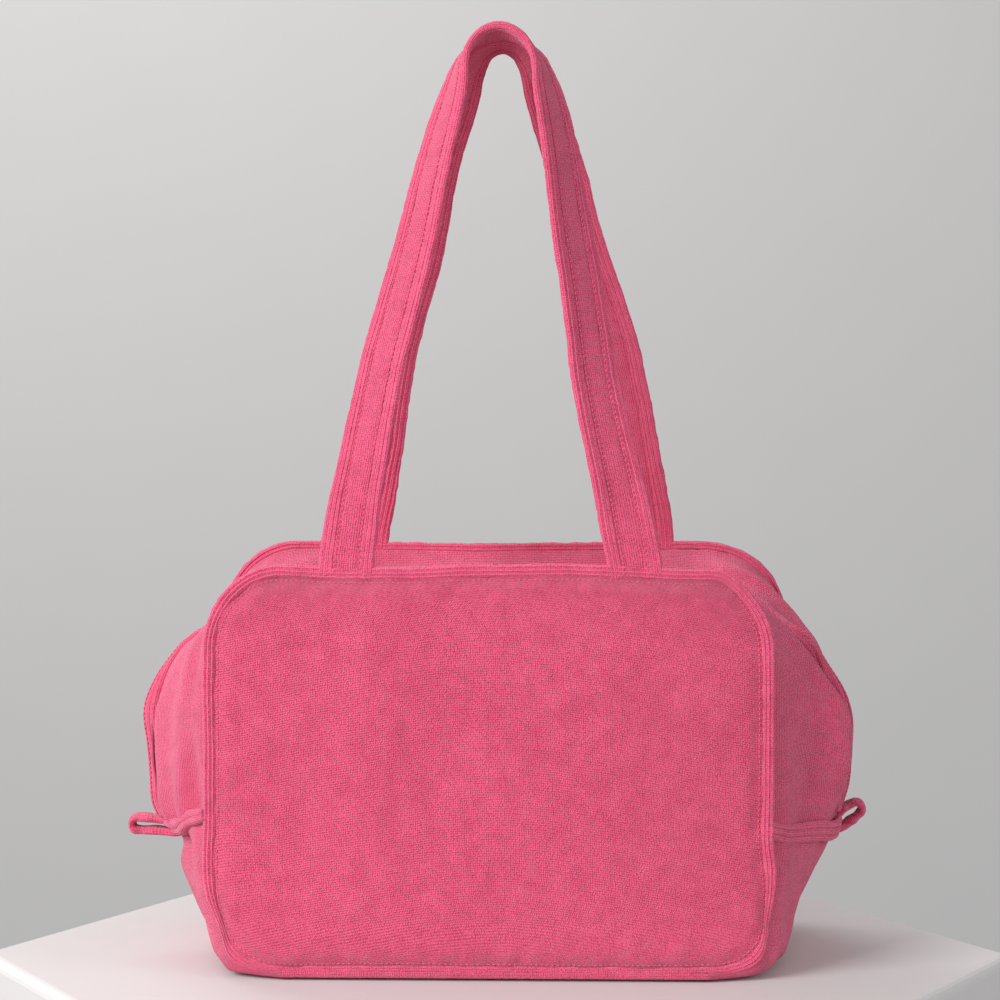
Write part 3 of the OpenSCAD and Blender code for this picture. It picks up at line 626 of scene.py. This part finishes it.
def strip(a, v, side):
    """Points of the strip round the bag: a is the distance along the panel's edge from the top's middle,
    and v runs from the panel's seam at 0 to the strip's middle line at 1."""
    a, v = np.broadcast_arrays(np.asarray(a, float), np.asarray(v, float))
    beyond = np.where(a < 0, -1, 1)  # past the top's middle, on the other side
    a = np.abs(a)
    b = np.interp(a, EDGE_KEYS, MIDDLE_KEYS)
    e, m = edge_path.at(a), middle_path.at(b)
    t = e[..., 1] / panel_h
    edge_y = low_y + (top_y - low_y) * t - SEAM_TUCK
    edge_z = low_z + (top_z - low_z) * t
    along = (a - mouth_x) / (edge_cross - mouth_x)
    low = np.clip((a - edge_cross) / (edge_base - edge_cross), 0, 1)
    full = np.interp(along, [-0.5, 0, 0.25, 0.6, 1.0, 1.6], FULLNESS[side])
    across = v + full * v * (1 - v)
    ground = np.where(v > 0.1, 1, 1 - (1 - v / 0.1) ** 2)
    share = across * (1 - low) + ground * low
    hollow = np.interp(along, KEEL_AT, KEEL_V), np.interp(along, KEEL_AT, KEEL_WIDTH)
    share = share - KEEL[side] * np.interp(along, KEEL_AT, KEEL_DEPTH) * bump(v, *hollow)
    x = e[..., 0] + (m[..., 0] - e[..., 0]) * share
    z = edge_z + (m[..., 1] - edge_z) * share
    # under the lower seam the cloth bulges out before it turns under the bag
    heel = low**3 * bump(v, 0.045, 0.05)
    return np.stack([x * beyond, -edge_y * (1 - v) - 0.0085 * heel, z], -1), along, low


def folds(a, v, along, low, p, side, face):
    """Outward shift of a strip's cloth: long soft folds, drawn together at the cross seam, and small dents."""
    seed = 100 + face
    p = p * [side, 1, 1]
    body = smooth(v, 0.02, 0.16) * smooth(v, 0.99, 0.9)
    gather = smooth(along, 0.25, 0.98) * smooth(along, 1.0, 0.985)
    count, deep, swing, turns = FOLDS[side]
    long_folds = np.cos(2 * math.pi * (v * count + 0.07 * swing * np.sin(turns * along))) * gather
    soft = waves(p, 0.06, seed) * 0.0016 + waves(p, 0.022, seed + 1) * 0.0005
    under = waves(np.stack([a, v * 0.08], -1), 0.03, seed + 2 + side) * 0.0009 * low * (1 - low) * 4
    crest = 0.0
    if side > 0:
        # a soft crest runs down from the mouth's corner, with a hollow behind it and a dent low in front of it
        line = np.interp(along, [0, 0.15, 0.3, 0.45, 0.6, 1], [0.14, 0.22, 0.34, 0.48, 0.58, 0.62])
        crest = 0.0042 * bump(v, line, 0.09) * smooth(along, 0.0, 0.2) * smooth(along, 0.95, 0.6)
        crest = crest - 0.0050 * bump(v, line + 0.22, 0.10) * smooth(along, 0.02, 0.2) * smooth(along, 0.8, 0.45)
        crest = crest - 0.0030 * bump(v, 0.30, 0.09) * bump(along, 0.80, 0.10)
    return body * (long_folds * deep + soft * (1 - 0.9 * low) + under + crest)


def strip_grid(a, v, side, face, depth=0.0, extra=None):
    """The strip's points with its folds, moved in by depth, on one side and one face of the bag."""
    a, v = np.broadcast_arrays(np.asarray(a, float), np.asarray(v, float))
    p, along, low = strip(a, v, side)
    n = outward(p)
    shift = folds(a, v, along, low, p, side, face) - depth
    if extra is not None:
        shift = shift + extra
    p = p + n * shift[..., None]
    p[..., 2] = np.maximum(p[..., 2], depth)
    return p * np.array([side, -face, 1])


def outward(p):
    """Normals of a right front grid, out of the bag."""
    n = normals(p)
    middle = np.array([0.1, 0, 0.12])
    facing = np.sum(n * (p - middle), axis=-1).mean()
    return n * (1 if facing > 0 else -1)


HEM_EDGE = 0.0128  # outer edge of the hem, from the zip's middle
HEM_INNER = 0.0048
hem_end = middle_cross - 0.0065


def v_at(y):
    """v of a strip at distance y from the middle."""
    return 1 - y / (top_y + 0.004)


def hem_rib(w):
    """How far a hem stands off its strip, from its outer edge at w of 0 to its inner one at 1."""
    return 0.0007 + 0.0011 * np.abs(np.sin(math.pi * (w * 2.6 + 0.1))) ** 0.7


CROSS_GAP = 0.0022  # from a cross seam's middle to the cloth on each side
LEAD = 2  # rows past the middle, which only steady the normals
top_a = np.concatenate([[-0.005, -0.0025], np.linspace(0, mouth_x, 48)[:-1],
                        np.linspace(mouth_x, edge_cross - CROSS_GAP, 110)])
low_a = np.linspace(edge_cross + CROSS_GAP, edge_base, 54)
SIDES = ((1, "right"), (-1, "left"))
FACES = ((-1, "front"), (1, "back"))


def with_flap(ob):
    """Bakes a piece's transform into its mesh."""
    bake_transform(ob)


def flap_cloth(name, grid, side, face, **more):
    with_flap(cloth(name, grid, (-side, -face, -1), **more))


for side, hand in SIDES:
    for face, front in FACES:
        v = np.linspace(0, v_at(0.0075), 44)
        stood_for = [f"{front}_{hand}_gusset"] + ([f"{front}_flap_cloth"] if side > 0 else [])
        grid = strip_grid(top_a[:, None], v[None], side, face)
        flap_cloth(f"{front}_{hand}_strip", grid, side, face, lead=LEAD, material=strip_terry, replaces=stood_for)

        # the hem: the strip's edge folded back over the zip tape and stitched down in two rows
        w = np.linspace(0, 1, 22)
        hem_v = v_at(HEM_EDGE + (HEM_INNER - HEM_EDGE) * w)
        rows = top_a[top_a < edge_cross - 0.006]
        rib = hem_rib(w) - 0.0030 * smooth(w, 0.86, 1.0) - 0.0016 * smooth(w, 0.12, 0.0)
        grid = strip_grid(rows[:, None], hem_v[None], side, face, extra=rib[None])
        flap_cloth(f"{front}_{hand}_hem", grid, side, face, thick=0.0026, lead=LEAD, material=edge_terry,
                   replaces=[f"{front}_zip_hem", f"{hand}_zip_hems"])

        # the lining of the side, which ends short of the mouth
        rows = top_a[(top_a > mouth_x) & (top_a < edge_cross - 0.004)][::2]
        grid = strip_grid(rows[:, None], np.linspace(0.06, v_at(0.0135), 14)[None], side, face,
                          depth=CLOTH + LAYER_GAP * 3)
        flap_cloth(f"{front}_{hand}_side_lining", grid, side, face, thick=LINING, material=lining_cloth,
                   replaces=[f"{hand}_upper_linings"], slot="lining")

    # the lower side, from the front seam to the back seam
    for name, depth, thick, cloth_kind, slot in (
            ("lower_gusset", 0.0, CLOTH, strip_terry, "terry"),
            ("lower_lining", CLOTH + 2 * LAYER_GAP, LINING, lining_cloth, "lining")):
        rows = low_a if depth == 0 else low_a[2:]
        v = np.linspace(0, 1, 34) ** 1.35 if depth == 0 else np.linspace(0.07, 1, 22) ** 1.2
        front = strip_grid(rows[:, None], v[None], side, -1, depth)
        back = strip_grid(rows[:, None], v[None], side, 1, depth)
        middle = (front[:, -1:] + back[:, -1:]) / 2
        grid = np.concatenate([front[:, :-1], middle, back[:, -2::-1]], axis=1)
        cloth(f"{hand}_{name}_cloth", grid, (-side, 0, 0.3), thick=thick, material=cloth_kind, body="bag",
              replaces=[f"{hand}_{name}"], slot=slot)


# ---- the base ----

base_v = np.linspace(0, 1, 30) ** 1.35


def base_grid(x):
    """The base strip's points for a row of x, from the front seam to the back seam."""
    a = edge_path.length - np.abs(x)
    half = strip(a[:, None], base_v[None], 1)[0]
    half[..., 0] = x[:, None]
    half[..., 2] = np.maximum(half[..., 2], 0)
    return np.concatenate([half, half[:, -2::-1] * np.array([1, -1, 1])], axis=1)


cloth("base_cloth", base_grid(np.linspace(-base_x, base_x, 60)), (0, 0, 1), material=strip_terry,
      body="bag", replaces=["base_gusset"])
lining_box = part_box("base_lining")
x, y = np.meshgrid(np.linspace(-1, 1, 50), np.linspace(-1, 1, 26), indexing="ij")
dome = (1 - x**6) * (1 - y**6)
flat = np.stack([x * lining_box[1].x, y * lining_box[1].y,
                 lining_box[1].z + 0.0004 * dome * waves(np.stack([x, y], -1), 0.5, 5) + 0.0004 * dome], -1)
cloth("base_lining_cloth", flat, (0, 0, -1), thick=LINING, material=lining_cloth, body="bag",
      replaces=["base_lining"], slot="lining")


# ---- the cross seams ----

def cross_line(side, v):
    """Points along a cross seam's outer side, and their outward normals."""
    a = np.array([edge_cross - 0.002, edge_cross, edge_cross + 0.002])
    grid = strip(a[:, None], v[None], side)[0]
    return grid[1], outward(grid)[1]


CROSS_PROFILES = {1: ribbed(0.0056, 0.0028, 3, 0.5, 52), -1: ribbed(0.0048, 0.0040, 2, 0.3, 36)}
for side, hand in SIDES:
    v = np.linspace(0.0, 1, 40)
    line, n = cross_line(side, v)
    line, n = line * [side, 1, 1], n * [side, 1, 1]
    line = np.concatenate([line, line[-2::-1] * [1, -1, 1]])
    n = np.concatenate([n, n[-2::-1] * [1, -1, 1]])
    run = unit(np.gradient(line, axis=0))
    n = across_run(n, run)
    wide = np.cross(run, n)
    s = lengths(line[:, None], 0)[:, 0]
    line = line + n * 0.0014 + wide * waves(s[:, None], 0.05, 60 + side)[:, None] * 0.0004
    sweep(f"{hand}_cross_seam_roll", line, wide, n, ridged(CROSS_PROFILES[side], s, 70 + side, 0.00018),
          material=edge_terry, body="bag", replaces=[f"{hand}_cross_seam"])


# ---- the end loops ----

loop_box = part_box("right_loop")
loop_profile = ribbed(0.0070, 0.0026, 5, 0.28, 44)
for side, hand, tilt in ((1, "right", 33), (-1, "left", 3)):
    reach = loop_box[1].x - loop_box[0].x
    opening = 0.0037
    run = Path([(-0.004, opening), (reach - 0.001, opening), (reach - 0.001, -opening), (-0.004, -opening)],
               [0, opening * 0.98, opening * 0.98, 0])
    s = np.linspace(0, run.length, 70)
    flat = run.at(s)
    ahead = unit(np.gradient(flat, axis=0))
    out = np.stack([-ahead[:, 1], ahead[:, 0]], -1)
    flat = flat + out * (waves(s[:, None], 0.02, 80 + side) * 0.0005)[:, None]
    turn = math.radians(tilt) * smooth(flat[:, 0], -0.004, 0.008)
    root = np.array([loop_box[0].x - 0.001, (loop_box[0].z + loop_box[1].z) / 2])
    turned = np.stack([flat[:, 0] * np.cos(turn) - flat[:, 1] * np.sin(turn),
                       flat[:, 0] * np.sin(turn) + flat[:, 1] * np.cos(turn)], -1)
    skew = waves(s[:, None], 0.05, 90 + side) * 0.0006
    centre = np.stack([side * (root[0] + turned[:, 0]), skew, root[1] + turned[:, 1]], -1)
    step = unit(np.gradient(centre, axis=0))
    wide = across_run(np.tile([0.0, 1.0, 0.0], (len(centre), 1)), step)
    sweep(f"{hand}_loop_strap", centre, wide, np.cross(step, wide), ridged(loop_profile, s, 95 + side, 0.0003),
          material=edge_terry, body="bag", replaces=[f"{hand}_loop"])


# ---- the handles ----

STRAP_HALF = 0.016
FOOT_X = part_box("front_handle_roots")[1].x - STRAP_HALF  # the middle of a strap's foot
HANDLE_RISE = 0.3025  # from a strap's foot to its top
CROWN_R = 0.027  # how tightly it turns over there
handle_pivot = np.abs(joints["front_handle_fold"]["pos_m"])
hinge_z = float(handle_pivot[2])
CROWN_Y = 0.0185  # how far its top stays from the bag's middle
HANDLE_SEED = {-1: 180, 1: 220}
# How far a strap has turned about its own run, in degrees, from its foot at 0 to its top at 1
TURN_AT = [0, 0.1, 0.26, 0.57, 0.85, 0.92, 0.97, 1]
TURNS = {-1: [0, 18, 30, 42, 60, 80, 114, 118], 1: [0, 18, 30, 40, 50, 57, 72, 100]}

# How far each leg bows out and stands out at its foot, on the left and the right, for each handle
LEGS = {-1: ((-0.0036, 0.0), (-0.0018, -0.0042)), 1: ((-0.0030, 0.001), (0.0045, 0.0060))}


def handle_frames(face, count=190):
    """Distance along a strap from its right foot to its left foot, with its centre, across and thickness there."""
    seed = HANDLE_SEED[face]
    foot_z = top_z - 0.002
    lift = hinge_z - foot_z
    slope = math.atan2(FOOT_X, HANDLE_RISE - CROWN_R) - math.asin(CROWN_R / math.hypot(FOOT_X, HANDLE_RISE - CROWN_R))
    peak = FOOT_X / math.tan(slope)
    path = Path([(FOOT_X + lift * 0.12, -lift), (FOOT_X, 0), (0, peak), (-FOOT_X, 0), (-FOOT_X - lift * 0.12, -lift)],
                [0, 0.08, CROWN_R, 0.08, 0])
    s = np.linspace(0, path.length, count)
    flat = path.at(s)
    near = 1 - np.abs(2 * s / path.length - 1)
    low_leg = np.sin(math.pi * np.clip(near / 0.62, 0, 1)) ** 1.3
    left, right = LEGS[face]
    foot = smooth(near, 0.9, 0.35)
    flat[:, 0] += np.where(flat[:, 0] < 0, left[0] * low_leg + left[1] * foot, right[0] * low_leg + right[1] * foot)
    if face > 0:
        # the back handle hangs a little lower, and its top is pinched closer
        flat[:, 1] -= 0.0068 * smooth(near, 0.25, 1.0)
        flat[:, 0] *= 1 - 0.15 * bump(near, 0.93, 0.16)
    else:
        flat[:, 0] *= 1 - 0.05 * bump(near, 0.93, 0.12)
        flat[:, 1] -= 0.0036 * smooth(near, 0.4, 1.0)
    flat[:, 0] += 0.0022 * smooth(near, 0.3, 1.0)
    height = np.maximum(flat[:, 1], 0)
    lean = (top_y - CROWN_Y) / HANDLE_RISE
    y = -top_y + height * lean
    centre = np.stack([flat[:, 0], y, hinge_z + flat[:, 1]], -1)
    centre[:, 0] += waves(s[:, None], 0.16, seed) * 0.0009
    centre[:, 1] += waves(s[:, None], 0.12, seed + 1) * 0.0006 * smooth(near, 0.05, 0.2)
    run = unit(np.gradient(centre, axis=0))
    back = across_run(np.array([[0, 1.0, 0]]), run)
    inner = np.cross(run, back)
    turn = np.interp(near, TURN_AT, TURNS[face])
    turn = np.convolve(np.pad(turn, 5, mode="edge"), np.ones(11) / 11, mode="valid")
    angle = np.radians(turn)[:, None]
    turned = inner * np.cos(angle) - back * np.sin(angle)
    hold = np.clip(1 - near / 0.16, 0, 1)[:, None]
    foot = np.array([-1.0, 0, 0]) * np.where(centre[:, :1] > 0, 1, -1)
    wide = across_run(turned * (1 - hold) + foot * hold, run)
    thick = np.cross(wide, run)
    return s, *(face_of(p, face) for p in (centre, wide, thick))


CENTRE_PROFILE = ribbed(0.0080, 0.0021, 0, 0, 26)
EDGE_PROFILE = ribbed(0.0045, 0.0026, 3, 0.40, 36)

BINDING_OFF = 0.0114  # from a strap's middle to the middle of each binding


def with_handle(ob):
    """Bakes a piece's transform into its mesh."""
    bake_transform(ob)


for face, front in FACES:
    seed = HANDLE_SEED[face]
    s, centre, wide, thick = handle_frames(face)
    crease = 1 - 0.35 * bump(centre[:, 2], hinge_z, 0.006)
    for name, offset, profile, node in (
            ("strap", 0.0, CENTRE_PROFILE, "strap"),
            ("outer_binding", -BINDING_OFF, EDGE_PROFILE, "outer_edge"),
            ("inner_binding", BINDING_OFF, EDGE_PROFILE, "inner_edge")):
        outline = ridged(profile, s, seed + len(name), 0.0002)
        outline = outline * np.stack([np.ones_like(crease), crease], -1)[:, None]
        drift = offset + waves(s[:, None], 0.05, seed + len(node))[:, None] * 0.0002
        stood_for = [f"{front}_handle_{node}"] + ([f"{front}_handle_roots"] if offset == 0 else [])
        piece = sweep(f"{front}_handle_{name}", centre + wide * drift, wide, thick, outline,
                      material=strip_terry if offset == 0 else edge_terry, replaces=stood_for)
        with_handle(piece)


# ---- inside: pocket, label and handle anchors ----

def height_on_panel(z):
    return (z - low_z) / (top_z - low_z) * panel_h


def patch(name, node, depth, thick, material, slot, face=1, cols=24, rows=18, ripple=0.0004, x_range=None):
    """A small sheet sewn to the inside of a panel, over the height and width of a node, or over another width."""
    low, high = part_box(node)
    x0, x1 = x_range or (low.x, high.x)
    x, h = np.meshgrid(np.linspace(x0, x1, cols), np.linspace(height_on_panel(low.z), height_on_panel(high.z), rows))
    seed = PANEL_SEED[face]
    sag = ripple * waves(np.stack([x, h], -1), 0.035, seed + cols) + ripple
    grid = panel_point(x, h, PANEL_FACE + panel_swell(x, h, seed) - depth - sag)
    cloth(name, face_of(grid, face), (0, -face, 0), thick=thick, material=material, body="bag", replaces=[node],
          slot=slot)


under_lining = LINING_DEPTH + LINING + 0.0012


patch("pocket_cloth", "slip_pocket", under_lining, LINING, lining_cloth, "lining")
patch("pocket_hem_band", "pocket_hem", under_lining, 0.002, edge_terry, "terry", rows=8)
patch("label_ribbon", "blank_label", under_lining, 0.0006, label_cloth, "label", rows=12, cols=16)
for face, front in FACES:
    for side, hand in SIDES:
        width = side * FOOT_X - STRAP_HALF, side * FOOT_X + STRAP_HALF
        patch(f"{front}_{hand}_anchor", f"{front}_handle_anchors", CLOTH + 0.0005, 0.0011, lining_cloth, "lining",
              face=face, cols=12, rows=12, ripple=0.0001, x_range=width)


# ---- the zip ----

TAPE_IN, TAPE_OUT = 0.0009, HEM_EDGE - 0.0008
COIL_PITCH = 0.0016
COIL_SLANT = 0.16  # how far each loop leans along the zip, as a share of the pitch
TUBE = 6  # sides of the thin tubes that coils and stitches are made of


def middle_frame(b, side):
    """Points on the side strips' middle line at b along it, with the run and the way out of the bag."""
    p = middle_path.at(b)
    ahead = unit(middle_path.at(b + 0.0005) - middle_path.at(b - 0.0005))
    zero = np.zeros(len(p))
    centre = np.stack([side * p[:, 0], zero, p[:, 1]], -1)
    run = np.stack([side * ahead[:, 0], zero, ahead[:, 1]], -1)
    out = np.stack([side * -ahead[:, 1], zero, ahead[:, 0]], -1)
    return centre, run, out


def band(b, side, face, y0, y1, top, base):
    """A flat band along the zip, between y0 and y1 from its middle and top and base under the strips."""
    centre, _, out = middle_frame(b, side)
    wide = np.tile([0.0, face, 0.0], (len(b), 1))
    outline = np.array([(y0, -top), (y1, -top), (y1, -base), (y0, -base)])
    return centre, wide, out, outline


tape_box, coil_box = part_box("front_zip_tape"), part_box("front_zip_coil")
tape_top, tape_base = zip_z - tape_box[1].z, zip_z - tape_box[0].z
coil_top, coil_base = zip_z - coil_box[1].z, zip_z - coil_box[0].z
coil_in, coil_out = -coil_box[1].y, -coil_box[0].y
zip_last = hem_end - 0.004

for side, hand in SIDES:
    for face, front in FACES:
        b = np.linspace(0, zip_last, 150)
        tape = band(b, side, face, TAPE_IN, TAPE_OUT, tape_top, tape_base)
        with_flap(sweep(f"{front}_{hand}_tape", *tape, material=tape_cloth, slot="zip_tape",
                        replaces=[f"{front}_zip_tape", f"{hand}_zip_tapes"]))

        # the coil: a loop over the core for each tooth
        b = np.arange(COIL_PITCH * (0.5 if face < 0 else 0.0) + 0.0004, zip_last - 0.010, COIL_PITCH)
        centre, run, out = middle_frame(b, side)
        ring = np.linspace(0, 2 * math.pi, 14, endpoint=False)
        middle, half = (coil_in + coil_out) / 2, (coil_out - coil_in) / 2
        deep, tall = (coil_top + coil_base) / 2, (coil_base - coil_top) / 2
        wire = 0.00036
        t, q = np.meshgrid(ring, np.linspace(0, 2 * math.pi, TUBE, endpoint=False), indexing="ij")
        across = ((half - wire + wire * np.cos(q)) * np.cos(t))[..., None]
        up = ((tall - wire + wire * np.cos(q)) * np.sin(t))[..., None]
        along = (wire * np.sin(q) + COIL_PITCH * COIL_SLANT * np.cos(t))[..., None]
        centre, run, out = (p[:, None, None] for p in (centre, run, out))
        verts = centre + np.array([0, face, 0]) * (middle + across) + out * (up - deep) + run * along
        uvs = np.stack(np.broadcast_arrays(b[:, None, None] + along[..., 0], t * 0.001), -1)
        faces = []
        for start in range(0, len(b) * t.size, t.size):
            last = start + t.size - TUBE
            faces += grid_faces(len(ring), TUBE, start, wrap=True)
            faces += [(last + j, last + (j + 1) % TUBE, start + (j + 1) % TUBE, start + j) for j in range(TUBE)]
        with_flap(make(f"{front}_{hand}_coil", verts, faces, uvs, material=coil_plastic, slot="zip_coil",
                       replaces=[f"{front}_zip_coil", f"{hand}_zip_coils"]))


# ---- stitches ----

def stitches(name, line, out, length=0.0021, pitch=0.0031, r=0.00034, body=None, slot="terry"):
    """A row of sewn stitches lying on a surface: line is their path and out its outward normals."""
    s = np.concatenate([[0], np.cumsum(np.linalg.norm(np.diff(line, axis=0), axis=1))])
    starts = np.arange(0.001, s[-1] - length, pitch)
    steps = np.linspace(0, 1, TUBE)
    at = starts[:, None] + length * steps
    p = np.stack([np.interp(at, s, line[:, i]) for i in range(3)], -1)[:, :, None]
    n = unit(np.stack([np.interp(at, s, out[:, i]) for i in range(3)], -1))[:, :, None]
    wide = np.cross(unit(p[:, -1:] - p[:, :1]), n)
    arch = np.sin(math.pi * steps)[:, None, None]
    fat = r * (0.45 + 0.55 * arch)
    turn = np.linspace(0, 2 * math.pi, TUBE, endpoint=False)
    round_it = turn[:, None]
    verts = p + n * ((arch - 0.55) * r * 1.5 + np.sin(round_it) * fat) + wide * np.cos(round_it) * fat
    uvs = np.stack(np.broadcast_arrays(at[..., None], turn * r), -1)
    faces = []
    for start in range(0, len(starts) * TUBE**2, TUBE**2):
        faces += grid_faces(TUBE, TUBE, start, wrap=True)
        faces += [list(range(start, start + TUBE)), list(range(start + TUBE**2 - TUBE, start + TUBE**2))]
    return make(name, verts, faces, uvs, material=thread, body=body, slot=slot)


for face, front in FACES:
    seed = PANEL_SEED[face]
    # round each panel, in the groove beside its piped seam
    s, centre, side_way, lift = seam_loop(0.0022, seed)
    inset = centre - side_way * 0.0052
    h = np.hypot(inset[:, 2] - low_z, low_y + inset[:, 1])
    swell = PANEL_FACE + panel_swell(inset[:, 0], h, seed)
    inset = panel_point(inset[:, 0], h, swell + 0.0002)
    inset = np.concatenate([inset, inset[:1]])
    level = np.tile(panel_point(0, 0, 1.0) - panel_point(0, 0), (len(inset), 1))
    stitches(f"{front}_panel_stitches", face_of(inset, face), face_of(level, face), body="bag")

    # one row down each binding of the handles, at its inner edge
    s, centre, wide, thick = handle_frames(face)
    outside = thick if np.sum(thick[4] * [0, face, 0]) > 0 else -thick
    for number, offset in enumerate((-0.0069, 0.0069)):
        line = centre + wide * offset + outside * 0.0019
        with_handle(stitches(f"{front}_handle_stitches_{number}", line, outside))

    for side, hand in SIDES:
        # two rows along each hem of the zip
        for number, y in enumerate((0.0064, 0.0107)):
            rows = top_a[top_a < edge_cross - 0.007]
            strip_v = np.array([v_at(y + 0.0005), v_at(y), v_at(y - 0.0005)])
            grid = strip_grid(rows[:, None], strip_v[None], side, face)
            n = outward(grid * [side, -face, 1]) * [side, -face, 1]
            rib = hem_rib((y - HEM_EDGE) / (HEM_INNER - HEM_EDGE))
            line = grid[:, 1] + n[:, 1] * (rib + 0.0001)
            with_flap(stitches(f"{front}_{hand}_hem_stitches_{number}", line, n[:, 1]))


# ---- the hard pieces, carried over from the frame ----

def finish_node(node, material, bevel):
    ob = frame["nodes"][node]
    ob.data.materials.clear()
    ob.data.materials.append(material)
    soften = ob.modifiers.new("soft_edges", "BEVEL")
    soften.width = bevel
    soften.segments = 3
    soften.limit_method = "ANGLE"
    soften.angle_limit = math.radians(35)
    ob.modifiers.new("even_shading", "WEIGHTED_NORMAL").keep_sharp = True


finish_node("zip_slider", zip_metal, 0.00018)
finish_node("zip_pull", zip_metal, 0.00018)
finish_node("zip_end_stops", zip_metal, 0.00012)
finish_node("base_board", board_plastic, 0.0004)


# ---- the studio ----

def flat_piece(name, corners, material, low=None):
    """A flat stage piece on these corners, as a slab down to low where that is given."""
    verts = [tuple(c) for c in corners]
    n = len(verts)
    faces = [list(range(n))]
    if low is not None:
        verts += [(c[0], c[1], low) for c in corners]
        faces += [[i, n + i, n + (i + 1) % n, (i + 1) % n] for i in range(n)] + [list(range(2 * n - 1, n - 1, -1))]
    me = bpy.data.meshes.new(name)
    me.from_pydata(verts, [], faces)
    me.materials.append(material)
    ob = bpy.data.objects.new(name, me)
    bpy.context.scene.collection.objects.link(ob)
    return ob


PLINTH = [(-0.31, -0.02), (0, -0.5), (0.31, -0.01), (-0.01, 0.44)]
PLINTH_TOP, PLINTH_FOOT = -0.0005, -0.6
WALL_Y = 3.6  # far enough back to stay behind the cameras that look from behind
floor_paint = plain("plinth_paint", (209, 205, 204), 0.75, 30.0)
wall_paint = plain("wall_paint", (212, 210, 208), 0.9, 6.0)
plinth = flat_piece("plinth", [(x, y, PLINTH_TOP) for x, y in PLINTH], floor_paint, low=PLINTH_FOOT)
wall = flat_piece("backdrop", [(x, WALL_Y, z) for x, z in ((-7, -3), (7, -3), (7, 7), (-7, 7))], wall_paint)
soften = plinth.modifiers.new("soft_edges", "BEVEL")
soften.width, soften.segments = 0.006, 4


BAG_MIDDLE = (0, 0, 0.2)


def area_light(name, at, aim, size, power, colour=(1, 1, 1)):
    data = bpy.data.lights.new(name, "AREA")
    data.shape, data.size, data.energy, data.color = "SQUARE", size, power, colour
    ob = bpy.data.objects.new(name, data)
    ob.location = at
    ob.rotation_euler = (Vector(aim) - Vector(at)).to_track_quat("-Z", "Y").to_euler()
    bpy.context.scene.collection.objects.link(ob)


area_light("key", (-1.30, -1.15, 0.95), BAG_MIDDLE, 0.9, 38, (1.0, 0.99, 0.98))
area_light("fill", (0.3, -2.6, 0.8), BAG_MIDDLE, 1.6, 10)
area_light("side", (1.6, -0.7, 0.75), (0.15, 0, 0.15), 0.8, 6)
area_light("wall_wash", (-1.35, 1.55, 2.5), (-0.30, WALL_Y, -0.30), 2.2, 64)
world = bpy.data.worlds.new("studio")
world.use_nodes = True
sky = world.node_tree.nodes["Background"].inputs
sky["Color"].default_value, sky["Strength"].default_value = (0.9, 0.92, 0.95, 1), 0.45
bpy.context.scene.world = world

TURN_ROUND, DISTANCE, EYE, PITCH = math.radians(1.368), 1.7373, 0.4345, math.radians(5.4547)
view = bpy.data.cameras.new("photo_view")
view.lens, view.sensor_width = 105.37, 36
view.shift_x, view.shift_y = 0.0025, 0.004
view.clip_start = 0.05
camera = bpy.data.objects.new("photo_view", view)
camera.location = (math.sin(TURN_ROUND) * DISTANCE, -math.cos(TURN_ROUND) * DISTANCE, EYE)
camera.rotation_euler = (math.pi / 2 - PITCH, 0, TURN_ROUND)
bpy.context.scene.collection.objects.link(camera)
bpy.context.scene.camera = camera
bpy.context.scene.view_settings.view_transform = "Standard"
